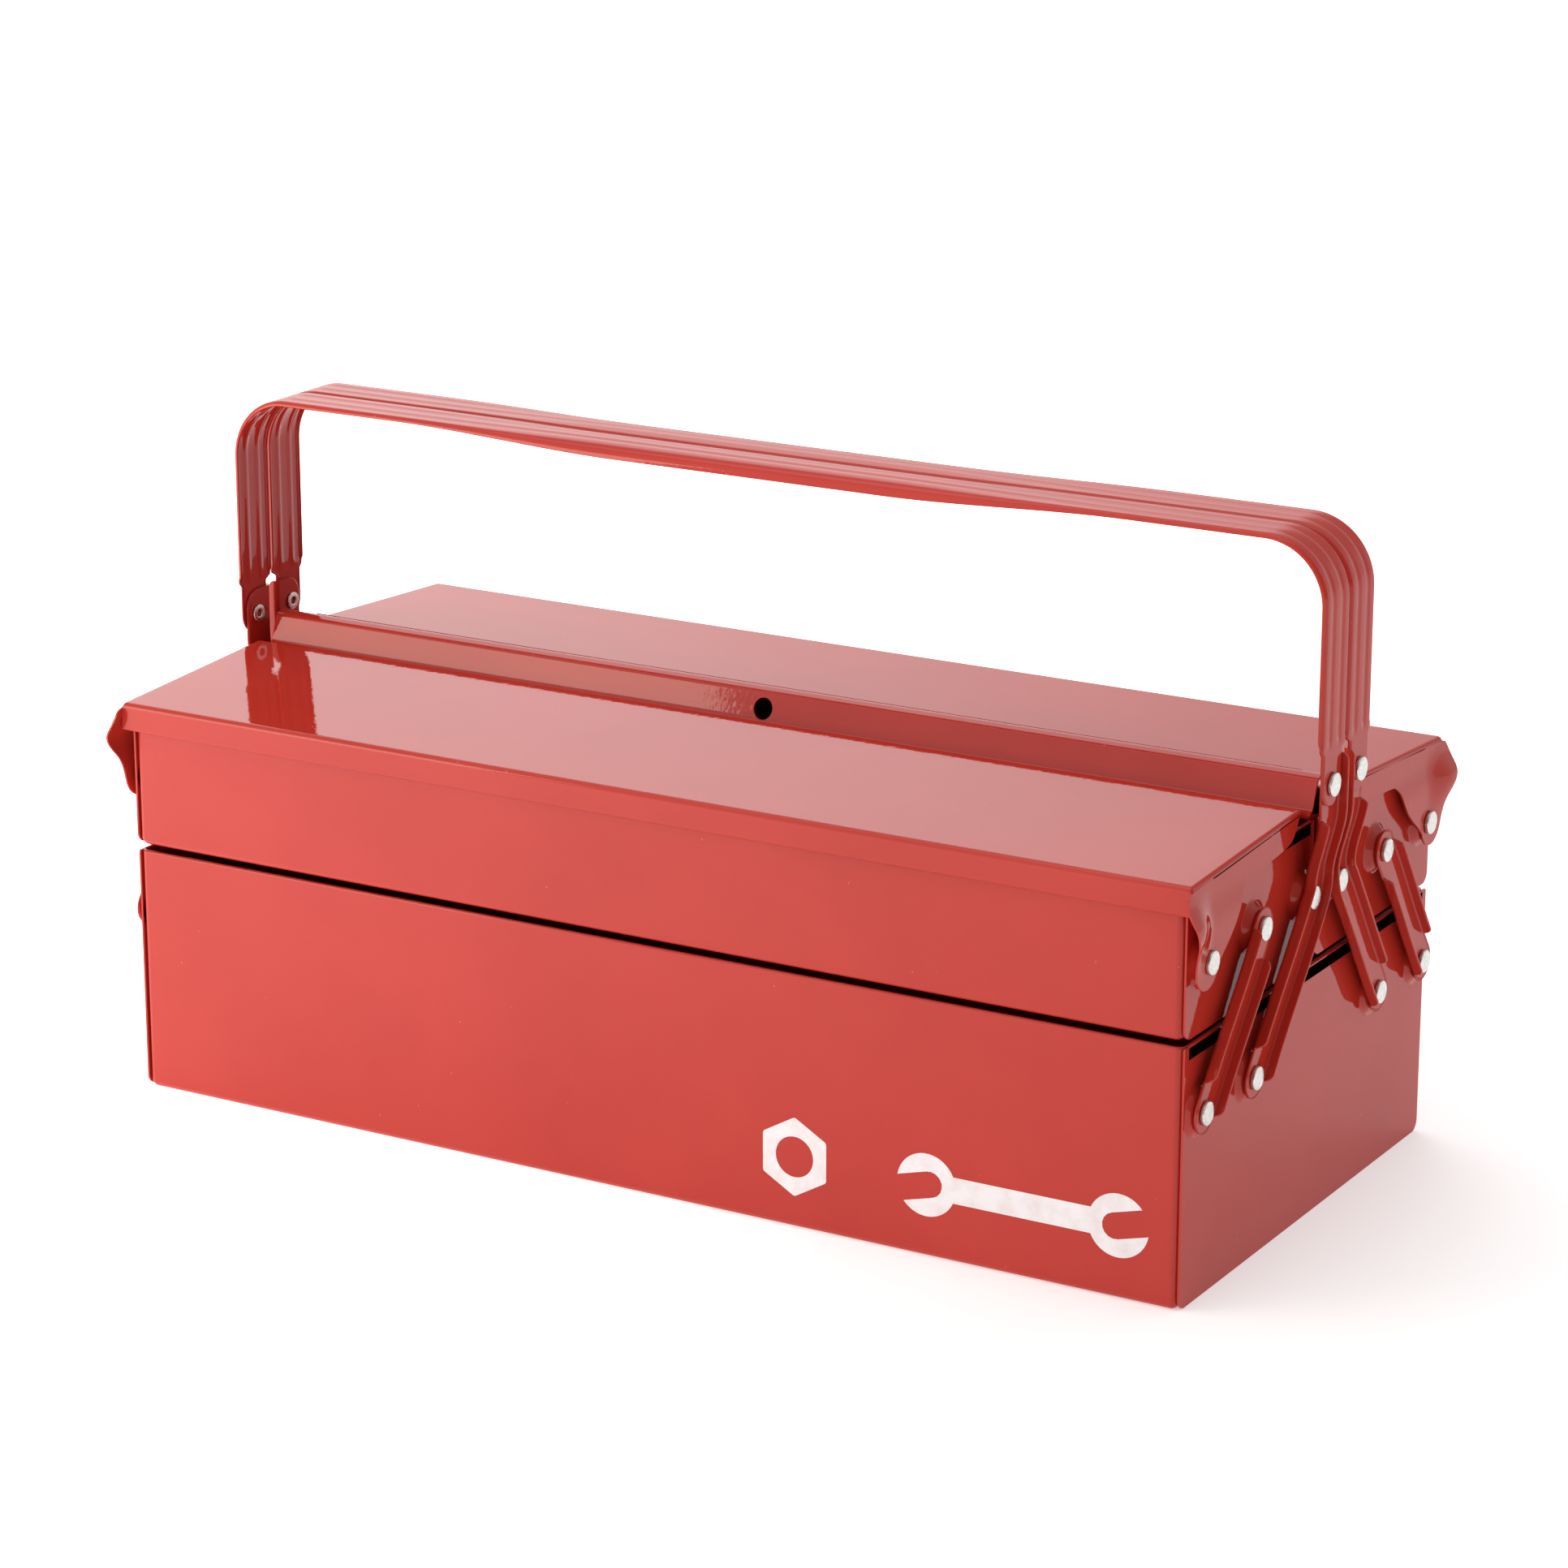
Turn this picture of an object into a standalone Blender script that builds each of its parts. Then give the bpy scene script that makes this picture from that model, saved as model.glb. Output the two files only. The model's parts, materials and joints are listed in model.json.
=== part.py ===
"""Steel cantilever toolbox: a base, two upper trays with lids, parallel arms and two strap handles.

All sizes below are in millimetres. X is the length, -Y the front, +Z up, and the origin is the
middle of the base's underside. A piece is designed once with y as its distance from the middle
plane: face is -1 for the front and 1 for the rear, and side is -1 for the left and 1 for the right.
"""
import math

import bmesh
import bpy
import numpy as np
from mathutils import Matrix

MM = 0.001

# ---- overall sizes -------------------------------------------------------------------------
LENGTH = 470.0            # over the end plates
DEPTH = 218.0             # over the front and back walls
BASE_HEIGHT = 102.0
TRAY_HEIGHT = 55.7
HANDLE_HEIGHT = 94.4      # top face of the handle straps above their pivots
# ---- sheet ---------------------------------------------------------------------------------
SHEET = 0.8               # shells, end plates and lids
ARM_SHEET = 1.1           # arms
STRAP = 1.2               # handle straps
GAP = 0.3                 # between pieces that touch
# ---- shells --------------------------------------------------------------------------------
CORNER_R = 3.0            # bend radius of the shells' outside corners
RETURN = 12.0             # width of the shell's return flange behind an end plate
HEM_DEPTH = 6.0           # height of the folded rim
HEM_T = 2.0               # thickness of the folded rim
PLATE_CORNER = 4.5        # lower corners of the end plates
TRAY_LIFT = 2.3           # daylight between the base rim and a tray
TRAY_OVER = 0.5           # a tray's outer wall stands this far outside the base's
TRAY_SPLIT = 1.2          # from the middle plane to a tray's inner wall
# ---- pivots --------------------------------------------------------------------------------
PIVOT_DROP = 27.0         # an arm's pivots below the rim of the base or tray they are on
BASE_INSET = 10.5         # short arm's base pivot behind the base's wall
ARM_RUN = 43.5            # how far an arm leans from its base pivot to its tray pivot
LONG_TRAY_Y = 12.5        # long arm's tray pivot from the middle plane
LID_INSET = 11.2          # lid pivot behind the tray's outer wall
LID_DROP = 27.5           # lid pivot below the tray's rim
HANDLE_DROP = 0.4         # handle pivot below the ridge's crest
# ---- bosses and rivets ---------------------------------------------------------------------
BASE_BOSS = 2.3           # height of a base boss above its end plate
TRAY_BOSS = 3.5
LID_BOSS = 3.2
BOSS_TOP_R = 6.5
BOSS_FOOT_R = 9.6
RIVET_R = 2.5             # shank
RIVET_HEAD_R = 4.6
RIVET_HEAD_T = 1.7
EYELET_R = 3.7            # rolled inner end
EYELET_T = 0.9
BORE_R = 1.6              # hollow of the semi-tubular shank
# ---- arms ----------------------------------------------------------------------------------
ARM_HALF = 8.0            # half the width of a channel arm
ARM_FLANGE = 5.0          # height of its flanges over the web's inner face
ARM_BEND_R = 2.0
ARM_SPLIT = 2.2           # from the middle plane to the upper part of a long arm
DOG_LEG_R = 14.0
ARM_TOP_X = 8.7           # web's inner face at the handle pivot, outside the end plates
ARM_TOP = 10.2            # head of a long arm above its handle pivot
OUTER_FLANGE_TOP = -13.0  # upper end of the outer flange, from the handle pivot
# ---- lids ----------------------------------------------------------------------------------
LID_OVER = 3.0            # lid beyond the end plates and the tray's outer wall
LID_RISE = 4.0            # top of the lid above the tray's rim, at its outer edge
LID_SLOPE = 4.8           # further rise of the lid to the ridge groove
LID_LIP = 11.4            # depth of the outer lip
LID_TOP_R = 3.0
LIP_CURL = 1.9            # reach of the curl along the lip's lower edge
GROOVE_Y = 20.5           # where the ridge groove starts, from the middle plane
RIDGE_RISE = 9.4          # crest of the front lid's ridge above the lid's top
# groove and ridge from the lid's top at the middle plane: y, z and bend radius
RIDGE = [(13.3, -4.8, 1.4), (10.4, -2.6, 3.0), (8.6, 2.4, 8.0), (6.6, 8.2, 2.2), (2.0, RIDGE_RISE, 4.0),
         (-4.1, 6.4, 0)]
LATCH_Y = 5.8             # rear lid's upright flange behind the middle plane
LATCH_RISE = 7.2          # its edge above the lid's top
LATCH_SHORT = 12.0        # the upright flange ends this far short of the lid's ends
PADLOCK_R = 4.25
PADLOCK_RISE = 1.6        # middle of the hole above the lid's top
EAR_STEP = 1.3            # ear stands this far outside the lid's end flange
EAR_R = 9.0               # lower end of the ear
FLARE = 4.1               # extra flare of the ear's outer corner
FLARE_DROP = 15.5         # widest place of the flare below the lid's outer edge
# outline of the end flange: outer corner from the lid's edge, ear from the lid pivot, then the
# lower edge from the start of the groove
EAR_CORNER = [(2.8, -2.9), (4.9, -8.5), (5.0, -13.0), (2.6, -18.5), (-1.8, -24.5)]
EAR_EDGE = [(-19.1, 7.0), (-24.3, 13.5), (-27.3, 19.0), (-31.3, 21.8), (-36.3, 22.5)]
FLANGE_EDGE = [(24.5, -13.0), (8.0, -11.2), (4.1, -7.3), (2.1, -3.8)]
# ---- handles -------------------------------------------------------------------------------
STRAP_HALF = 10.7         # half the width of a strap
STRAP_SPLIT = 0.5         # from the middle plane to a strap
TONGUE_OUT = 0.8          # the rivet end of a strap is this much further out than its middle
STRAP_RIM = 2.2           # depth of the turned edges
STRAP_TONGUE = 8.3        # radius of the strap's end around its rivet
STRAP_CORNER = 26.0
GRIP_RIM = 5.4            # depth of the turned edges at mid grip
GRIP_CROWN = 1.0          # rise of the grip's middle
GRIP_FULL = 60.0          # the grip has its full depth to this distance from the middle
GRIP_END = 165.0          # and the leg's depth from this distance on
NECK = 13.5               # the strap narrows to its tongue this far above its pivot
BEAD = 0.45               # depth of the two pressed beads

END_X = LENGTH / 2
WALL_Y = DEPTH / 2
TRAY_Y = WALL_Y + TRAY_OVER
TRAY_Z = BASE_HEIGHT + TRAY_LIFT
TRAY_TOP = TRAY_Z + TRAY_HEIGHT
LID_Y = TRAY_Y + LID_OVER
LID_X = END_X + LID_OVER
BASE_PIVOT_Z = BASE_HEIGHT - PIVOT_DROP
TRAY_PIVOT_Z = TRAY_TOP - PIVOT_DROP
SHORT_TRAY_Y = WALL_Y - BASE_INSET - ARM_RUN
LID_PIVOT_Y = TRAY_Y - LID_INSET
LID_PIVOT_Z = TRAY_TOP - LID_DROP
LID_EDGE_Z = TRAY_TOP + LID_RISE
LID_RIDGE_Z = LID_EDGE_Z + LID_SLOPE
LATCH_Z = LID_RIDGE_Z + LATCH_RISE
DOG_LEG_Y = ARM_HALF + ARM_SPLIT
STRAP_Y = STRAP_HALF + STRAP_SPLIT
HANDLE_PIVOT_Y = STRAP_Y + TONGUE_OUT
HANDLE_PIVOT_Z = LID_RIDGE_Z + RIDGE_RISE - HANDLE_DROP
HANDLE_TOP = HANDLE_PIVOT_Z + HANDLE_HEIGHT
BASE_WEB_X = END_X + BASE_BOSS + GAP
TRAY_WEB_X = END_X + TRAY_BOSS + GAP
STRAP_X = END_X + ARM_TOP_X + ARM_SHEET + GAP   # strap's inner face
HOLE_R = RIVET_R + GAP

RED = ((0.62, 0.035, 0.025), 0.22, 0.0)
NICKEL = ((0.72, 0.70, 0.67), 0.28, 1.0)


# ---- outlines ------------------------------------------------------------------------------
def fillet(points, radii, steps=4, closed=False):
    """Points of a polyline whose corners are rounded, in the plane."""
    out, n = [], len(points)
    for i, (p, r) in enumerate(zip(points, radii)):
        ends = not closed and i in (0, n - 1)
        if ends or r <= 0:
            out.append(tuple(p))
            continue
        a, b = np.subtract(points[i - 1], p), np.subtract(points[(i + 1) % n], p)
        a, b = a / np.linalg.norm(a), b / np.linalg.norm(b)
        half = math.acos(float(np.clip(a @ b, -1, 1))) / 2
        middle = (a + b) / np.linalg.norm(a + b)
        centre = np.array(p) + middle * r / math.sin(half)
        start = np.array(p) + a * r / math.tan(half) - centre
        turn = math.pi - 2 * half
        if a[0] * b[1] - a[1] * b[0] > 0:
            turn = -turn
        for k in range(steps + 1):
            c, s = math.cos(turn * k / steps), math.sin(turn * k / steps)
            out.append(tuple(centre + (start[0] * c - start[1] * s, start[0] * s + start[1] * c)))
    return out


def sheet(path, thickness):
    """Closed outline of a sheet whose right-hand side is the path."""
    p = np.array(path)
    along = np.diff(p, axis=0)
    along /= np.linalg.norm(along, axis=1)[:, None]
    normal = np.stack([-along[:, 1], along[:, 0]], 1)
    left = []
    for i in range(len(p)):
        a, b = normal[max(i - 1, 0)], normal[min(i, len(normal) - 1)]
        left.append(p[i] + (a + b) * thickness / (1 + a @ b))
    return [tuple(q) for q in p] + [tuple(q) for q in left[::-1]]


def mirrored(side, face, x, place):
    """A designed point, x from the middle and (y, z) place, on the given side and face."""
    return (side * x, face * place[0], place[1])


def smooth(x, low, high):
    """0 below low, 1 above high, smooth between."""
    u = min(max((x - low) / (high - low), 0.0), 1.0)
    return u * u * (3 - 2 * u)


# ---- solids --------------------------------------------------------------------------------
def material(name, look):
    found = bpy.data.materials.get(name)
    if found:
        return found
    colour, roughness, metallic = look
    made = bpy.data.materials.new(name)
    made.use_nodes = True
    bsdf = made.node_tree.nodes["Principled BSDF"]
    bsdf.inputs["Base Color"].default_value = (*colour, 1)
    bsdf.inputs["Roughness"].default_value = roughness
    bsdf.inputs["Metallic"].default_value = metallic
    return made


def from_bmesh(bm, name):
    """A linked object in metres, with its faces turned outward."""
    bmesh.ops.recalc_face_normals(bm, faces=bm.faces)
    if bm.calc_volume(signed=True) < 0:
        bmesh.ops.reverse_faces(bm, faces=bm.faces)
    bmesh.ops.scale(bm, vec=(MM, MM, MM), verts=bm.verts)
    mesh = bpy.data.meshes.new(name)
    bm.to_mesh(mesh)
    bm.free()
    made = bpy.data.objects.new(name, mesh)
    bpy.context.collection.objects.link(made)
    return made


def box(low, high, radius=0.0):
    """A box between two corners, with its upright and lower edges rounded if radius is given."""
    bm = bmesh.new()
    bmesh.ops.create_cube(bm, size=1)
    size, middle = np.subtract(high, low), np.add(high, low) / 2
    bmesh.ops.scale(bm, vec=tuple(size), verts=bm.verts)
    bmesh.ops.translate(bm, vec=tuple(middle), verts=bm.verts)
    if radius:
        def rounded(e):
            upright = abs(e.verts[0].co.z - e.verts[1].co.z) > 1e-6
            lower = max(v.co.z for v in e.verts) < middle[2]
            return upright or lower
        bmesh.ops.bevel(bm, geom=[e for e in bm.edges if rounded(e)], offset=radius, segments=4,
                        profile=0.5, affect="EDGES")
    return from_bmesh(bm, "box")


def lathe(profile, y, z, sides=14, side=1):
    """Radius and x pairs turned about the line through (y, z) along X. A radius of 0 is a pole."""
    bm = bmesh.new()
    rings = []
    for r, x in profile:
        if r <= 0:
            rings.append([bm.verts.new((side * x, y, z))])
            continue
        turn = [2 * math.pi * k / sides for k in range(sides)]
        rings.append([bm.verts.new((side * x, y + r * math.cos(t), z + r * math.sin(t))) for t in turn])
    for a, b in zip(rings, rings[1:]):
        for k in range(sides):
            j = (k + 1) % sides
            if len(a) == 1:
                bm.faces.new((a[0], b[k], b[j]))
            elif len(b) == 1:
                bm.faces.new((a[k], a[j], b[0]))
            else:
                bm.faces.new((a[k], a[j], b[j], b[k]))
    return from_bmesh(bm, "lathe")


def loft(rings):
    """A closed solid through rings of equal length, capped at both ends."""
    bm = bmesh.new()
    made = [[bm.verts.new(p) for p in ring] for ring in rings]
    for a, b in zip(made, made[1:]):
        for k in range(len(a)):
            j = (k + 1) % len(a)
            bm.faces.new((a[k], a[j], b[j], b[k]))
    bm.faces.new(made[0])
    bm.faces.new(made[-1])
    return from_bmesh(bm, "loft")


def prism(outline, low, high, place=lambda a, b, x: (x, a, b)):
    """A closed outline pushed along X from low to high, unless place puts it elsewhere."""
    return loft([[place(a, b, x) for a, b in outline] for x in (low, high)])


def combine(target, other, operation):
    """Boolean of two objects; the other one is used up."""
    step = target.modifiers.new(operation.lower(), "BOOLEAN")
    step.operation, step.solver, step.object = operation, "EXACT", other
    bpy.context.view_layer.update()
    seen = target.evaluated_get(bpy.context.evaluated_depsgraph_get())
    mesh = bpy.data.meshes.new_from_object(seen)
    target.modifiers.clear()
    old, target.data = target.data, mesh
    bpy.data.meshes.remove(old)
    bpy.data.objects.remove(other)
    return target


def cut(target, *others):
    for other in others:
        combine(target, other, "DIFFERENCE")
    return target


def join(target, *others):
    for other in others:
        combine(target, other, "UNION")
    return target


def drill(target, y, z, x_low, x_high, radius=HOLE_R):
    return cut(target, lathe([(0, x_low), (radius, x_low), (radius, x_high), (0, x_high)], y, z))


def finish(made, name, look_name, look, pivot=None):
    """Name a solid, shade it, give it its material and put its origin on its pivot."""
    made.name = name
    made.data.name = name
    made.data.materials.clear()
    made.data.materials.append(material(look_name, look))
    made.data.shade_smooth()
    made.data.set_sharp_from_angle(angle=math.radians(32))
    if pivot is not None:
        at = [c * MM for c in pivot]
        made.data.transform(Matrix.Translation([-c for c in at]))
        made.location = at
    return made


# ---- shells and end plates -----------------------------------------------------------------
def shell(name, y_low, y_high, z_low, z_high):
    """Folded sheet: bottom, two long walls with hemmed rims, and return flanges at both ends."""
    x = END_X - SHEET - GAP
    tall = z_high + 20
    made = box((-x, y_low, z_low), (x, y_high, tall), CORNER_R)
    inside = box((SHEET - x, y_low + SHEET, z_low + SHEET), (x - SHEET, y_high - SHEET, tall + 5),
                 CORNER_R - SHEET)
    cut(made, inside)
    cut(made, box((-x - 5, y_low - 5, z_high - GAP), (x + 5, y_high + 5, tall + 10)))
    hem_z = z_high - HEM_DEPTH
    for side in (-1, 1):
        reach = (x - SHEET - 2, x + 5)
        low_x, high_x = sorted(side * r for r in reach)
        cut(made, box((low_x, y_low + RETURN, z_low + RETURN), (high_x, y_high - RETURN, tall + 9)))
        cut(made, box((low_x, y_low + CORNER_R, hem_z - 1), (high_x, y_high - CORNER_R, tall + 9)))
    for y, inward in ((y_low, 1), (y_high, -1)):
        rim = [(y, hem_z - 2), (y, z_high), (y + inward * HEM_T, z_high), (y + inward * HEM_T, hem_z)]
        rim += [(y + inward * SHEET * 0.6, hem_z), (y + inward * SHEET * 0.6, hem_z - 2)]
        join(made, prism(fillet(rim, [0, 0.9, 0.9, 0.3, 0, 0], 4, True), CORNER_R - x, x - CORNER_R))
    return finish(made, name, "red_enamel", RED)


def boss(plate, side, y, z, height):
    """Press a hollow boss with a rivet hole out of an end plate."""
    top, back = END_X + height, END_X - SHEET
    join(plate, lathe([(0, END_X - SHEET / 2), (BOSS_FOOT_R, END_X - SHEET / 2), (BOSS_FOOT_R, END_X + 0.2),
                       (BOSS_TOP_R, top), (0, top)], y, z, 16, side))
    cut(plate, lathe([(0, back - 1), (BOSS_FOOT_R - 0.6, back - 1), (BOSS_FOOT_R - 0.6, back + 0.2),
                      (BOSS_TOP_R - 0.5, top - SHEET), (0, top - SHEET)], y, z, 16, side))
    low, high = sorted((side * (back - 3), side * (top + 3)))
    return drill(plate, y, z, low, high)


def end_plate(name, side, y_low, y_high, z_low, z_high, bosses):
    """End plate with a hemmed rim, rounded lower corners and pressed bosses."""
    outline = [(y_low, z_high), (y_low, z_low), (y_high, z_low), (y_high, z_high)]
    outline = fillet(outline, [0.8, PLATE_CORNER, PLATE_CORNER, 0.8], 4, True)
    low, high = sorted((side * (END_X - SHEET), side * END_X))
    made = prism(outline, low, high)
    rim = [(END_X - SHEET / 2, z_high - HEM_DEPTH), (END_X - SHEET / 2, z_high - 0.8),
           (END_X - 0.8, z_high + 0.2), (END_X - HEM_T, z_high - 0.2), (END_X - HEM_T, z_high - HEM_DEPTH)]
    inset = CORNER_R + GAP
    hem = prism(fillet(rim, [0, 0.3, 0.3, 0.4, 0.3], 3, True), y_low + inset, y_high - inset,
                lambda a, b, along: (side * a, along, b))
    join(made, hem)
    for y, z, height in bosses:
        boss(made, side, y, z, height)
    return finish(made, name, "red_enamel", RED)


# ---- rivets --------------------------------------------------------------------------------
def rivet(name, side, y, z, inner, outer, pivot=None):
    """Semi-tubular rivet through everything between x = inner and x = outer."""
    back, head = inner - GAP, outer + GAP
    profile = [(0, back + 3), (BORE_R, back + 3), (BORE_R, back - EYELET_T),
               (EYELET_R - 0.4, back - EYELET_T), (EYELET_R, back), (RIVET_R, back), (RIVET_R, head),
               (RIVET_HEAD_R, head), (RIVET_HEAD_R, head + RIVET_HEAD_T - 0.6),
               (RIVET_HEAD_R - 0.6, head + RIVET_HEAD_T), (0, head + RIVET_HEAD_T)]
    return finish(lathe(profile, y, z, 12, side), name, "nickel_rivet", NICKEL, pivot)


# ---- channel section and arms --------------------------------------------------------------
def channel(out, inn, h_out, h_inn, thickness, radius, bead=0.0, steps=2):
    """Section of a strip with two turned edges: (across, depth) pairs, depth 0 on the web's back."""
    flat = thickness + 0.12
    h_out, h_inn = max(h_out, flat), max(h_inn, flat)

    def corner(edge, sign, height, r_extra):
        r = max(min(radius, height - 0.06), thickness + 0.06)
        turn = [math.pi / 2 * k / steps for k in range(steps + 1)]
        r_arc = r - r_extra
        return [(sign * (edge - r + r_arc * math.cos(t)), r - r_arc * math.sin(t)) for t in turn]

    webs = [-0.85, -0.5, -0.15, 0.15, 0.5, 0.85] if bead else []
    dips = [0, bead, 0, 0, bead, 0]
    middle = (inn - out) / 2
    half = (inn + out) / 2 - max(min(radius, max(h_out, h_inn) - 0.06), thickness + 0.06)
    web = [(middle + half * w, d) for w, d in zip(webs, dips)]
    back = [(-out, h_out)] + corner(out, -1, h_out, 0) + web + corner(inn, 1, h_inn, 0)[::-1] + [(inn, h_inn)]
    front = [(inn - thickness, h_inn)] + corner(inn, 1, h_inn, thickness)
    front += [(n, d + thickness) for n, d in web[::-1]]
    front += corner(out, -1, h_out, thickness)[::-1] + [(-out + thickness, h_out)]
    return back + front


def round_end(s, end, radius):
    """Half-width of a strip that ends in a half circle, at distance s along it."""
    left = abs(end - s)
    if left >= radius:
        return radius
    return max(math.sqrt(max(radius ** 2 - (radius - left) ** 2, 0)), 0.2 * radius)


def flange(s, start, high, ramp=3.0):
    """Flange height at s when the flange starts at start and rises with a rounded corner."""
    u = min(max((s - start) / ramp, 0.0), 1.0)
    return high * math.sqrt(max(1 - (1 - u) ** 2, 0.0))


def strip_stations(length, extra=()):
    """Distances along an arm: dense near both ends, with extra places in between."""
    ends = [ARM_HALF * (1 - math.cos(k)) for k in (0.3, 0.7, 1.1, math.pi / 2)]
    spots = set(ends) | {length - e for e in ends} | set(extra)
    return sorted(s for s in spots if 0 <= s <= length)


def short_arm(name, side, face):
    """Straight channel arm between a base pivot and a tray pivot."""
    foot = np.array([SHORT_TRAY_Y + ARM_RUN, BASE_PIVOT_Z])
    head = np.array([SHORT_TRAY_Y, TRAY_PIVOT_Z])
    run = np.linalg.norm(head - foot)
    along = (head - foot) / run
    across = np.array([-along[1], along[0]])        # towards the middle of the box
    length = run + 2 * ARM_HALF
    low_out, low_inn = ARM_HALF + 9, ARM_HALF + 1
    top_out, top_inn = length - ARM_HALF - 3, length - ARM_HALF - 9
    corners = [f + k for f in (low_out, low_inn) for k in (0.0, 0.9, 3.0)]
    corners += [f - k for f in (top_out, top_inn) for k in (0.0, 0.9, 3.0)]
    rings = []
    for s in strip_stations(length, corners):
        half = min(round_end(s, 0, ARM_HALF), round_end(s, length, ARM_HALF))
        high = ARM_FLANGE * min(half / ARM_HALF, 1)
        outer = min(flange(s, low_out, high), flange(-s, -top_out, high))
        inner = min(flange(s, low_inn, high), flange(-s, -top_inn, high))
        web = BASE_WEB_X + (TRAY_WEB_X - BASE_WEB_X) * smooth(s, ARM_HALF * 2, length - ARM_HALF * 2)
        centre = foot + along * (s - ARM_HALF)
        section = channel(half, half, outer, inner, ARM_SHEET, ARM_BEND_R)
        rings.append([mirrored(side, face, web + d, centre + across * n) for n, d in section])
    made = loft(rings)
    low, high = sorted((side * (END_X - 5), side * (TRAY_WEB_X + 12)))
    for y, z in (foot, head):
        drill(made, face * y, z, low, high)
    return finish(made, name, "red_enamel", RED, (side * BASE_WEB_X, face * foot[0], foot[1]))


def long_arm(name, side, face):
    """Channel arm with a dog-leg: base pivot, tray pivot, then upright and outward to the handle pivot."""
    foot = np.array([LONG_TRAY_Y + ARM_RUN, BASE_PIVOT_Z])
    tray = np.array([LONG_TRAY_Y, TRAY_PIVOT_Z])
    along = (tray - foot) / np.linalg.norm(tray - foot)
    start = foot - along * ARM_HALF
    bend_at = foot + along * ((foot[0] - DOG_LEG_Y) / -along[0])
    top = np.array([DOG_LEG_Y, HANDLE_PIVOT_Z + ARM_TOP])
    line = fillet([start, bend_at, top], [0, DOG_LEG_R, 0], 4)
    marks = np.concatenate([[0], np.cumsum(np.linalg.norm(np.diff(line, axis=0), axis=1))])
    length = marks[-1]
    low_out, low_inn = ARM_HALF + 9, ARM_HALF + 1
    outer_top = length - ARM_TOP + OUTER_FLANGE_TOP
    at_tray = ARM_HALF + np.linalg.norm(tray - foot)
    joggle = at_tray + BOSS_TOP_R, length - ARM_TOP - STRAP_TONGUE - 2.5
    extra = [f + k for f in (low_out, low_inn) for k in (0.0, 0.9, 3.0)]
    extra += [outer_top - k for k in (0.0, 0.9, 3.0)] + list(marks[1:-1])
    extra += list(np.linspace(joggle[0], joggle[1], 6)[1:])
    rings = []
    for s in strip_stations(length, extra):
        centre = np.array([np.interp(s, marks, np.array(line)[:, k]) for k in (0, 1)])
        ahead = np.array([np.interp(s + 0.5, marks, np.array(line)[:, k]) for k in (0, 1)])
        behind = np.array([np.interp(s - 0.5, marks, np.array(line)[:, k]) for k in (0, 1)])
        tangent = (ahead - behind) / np.linalg.norm(ahead - behind)
        across = np.array([-tangent[1], tangent[0]])
        foot_half = round_end(s, 0, ARM_HALF)
        outer_half = min(foot_half, round_end(s, length, ARM_HALF))
        left = length - s
        high = ARM_FLANGE * min(foot_half / ARM_HALF, 1)
        outer = min(flange(s, low_out, high), flange(-s, -outer_top, high))
        inner = min(flange(s, low_inn, high), flange(left, -0.5, high, 4.0))
        slope = (TRAY_WEB_X - BASE_WEB_X) * smooth(s, ARM_HALF * 2, at_tray - BOSS_TOP_R)
        lift = (END_X + ARM_TOP_X - TRAY_WEB_X) * smooth(s, *joggle)
        section = channel(outer_half, foot_half, outer, inner, ARM_SHEET, ARM_BEND_R)
        web = BASE_WEB_X + slope + lift
        rings.append([mirrored(side, face, web + d, centre + across * n) for n, d in section])
    made = loft(rings)
    low, high = sorted((side * (END_X - 5), side * (STRAP_X + 12)))
    for y, z in (foot, tray, (HANDLE_PIVOT_Y, HANDLE_PIVOT_Z)):
        drill(made, face * y, z, low, high)
    return finish(made, name, "red_enamel", RED, (side * BASE_WEB_X, face * foot[0], foot[1]))


# ---- lids ----------------------------------------------------------------------------------
def lid_top_z(y):
    """Height of the flat top at distance y from the middle plane."""
    return LID_RIDGE_Z - LID_SLOPE * (y - GROOVE_Y) / (LID_Y - LID_TOP_R - GROOVE_Y)


def lid_flange_x(y, z):
    """Outer face of a lid's end flange, which steps out to the ear and flares at the outer corner."""
    below = LID_EDGE_Z - z
    ear = EAR_STEP * smooth(below, 8, 18)
    width = 11.0 if below > FLARE_DROP else 8.0
    bulge = math.exp(-((below - FLARE_DROP) / width) ** 2)
    return LID_X + ear + FLARE * bulge * smooth(y, LID_Y - 16.5, LID_Y + 1)


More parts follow.
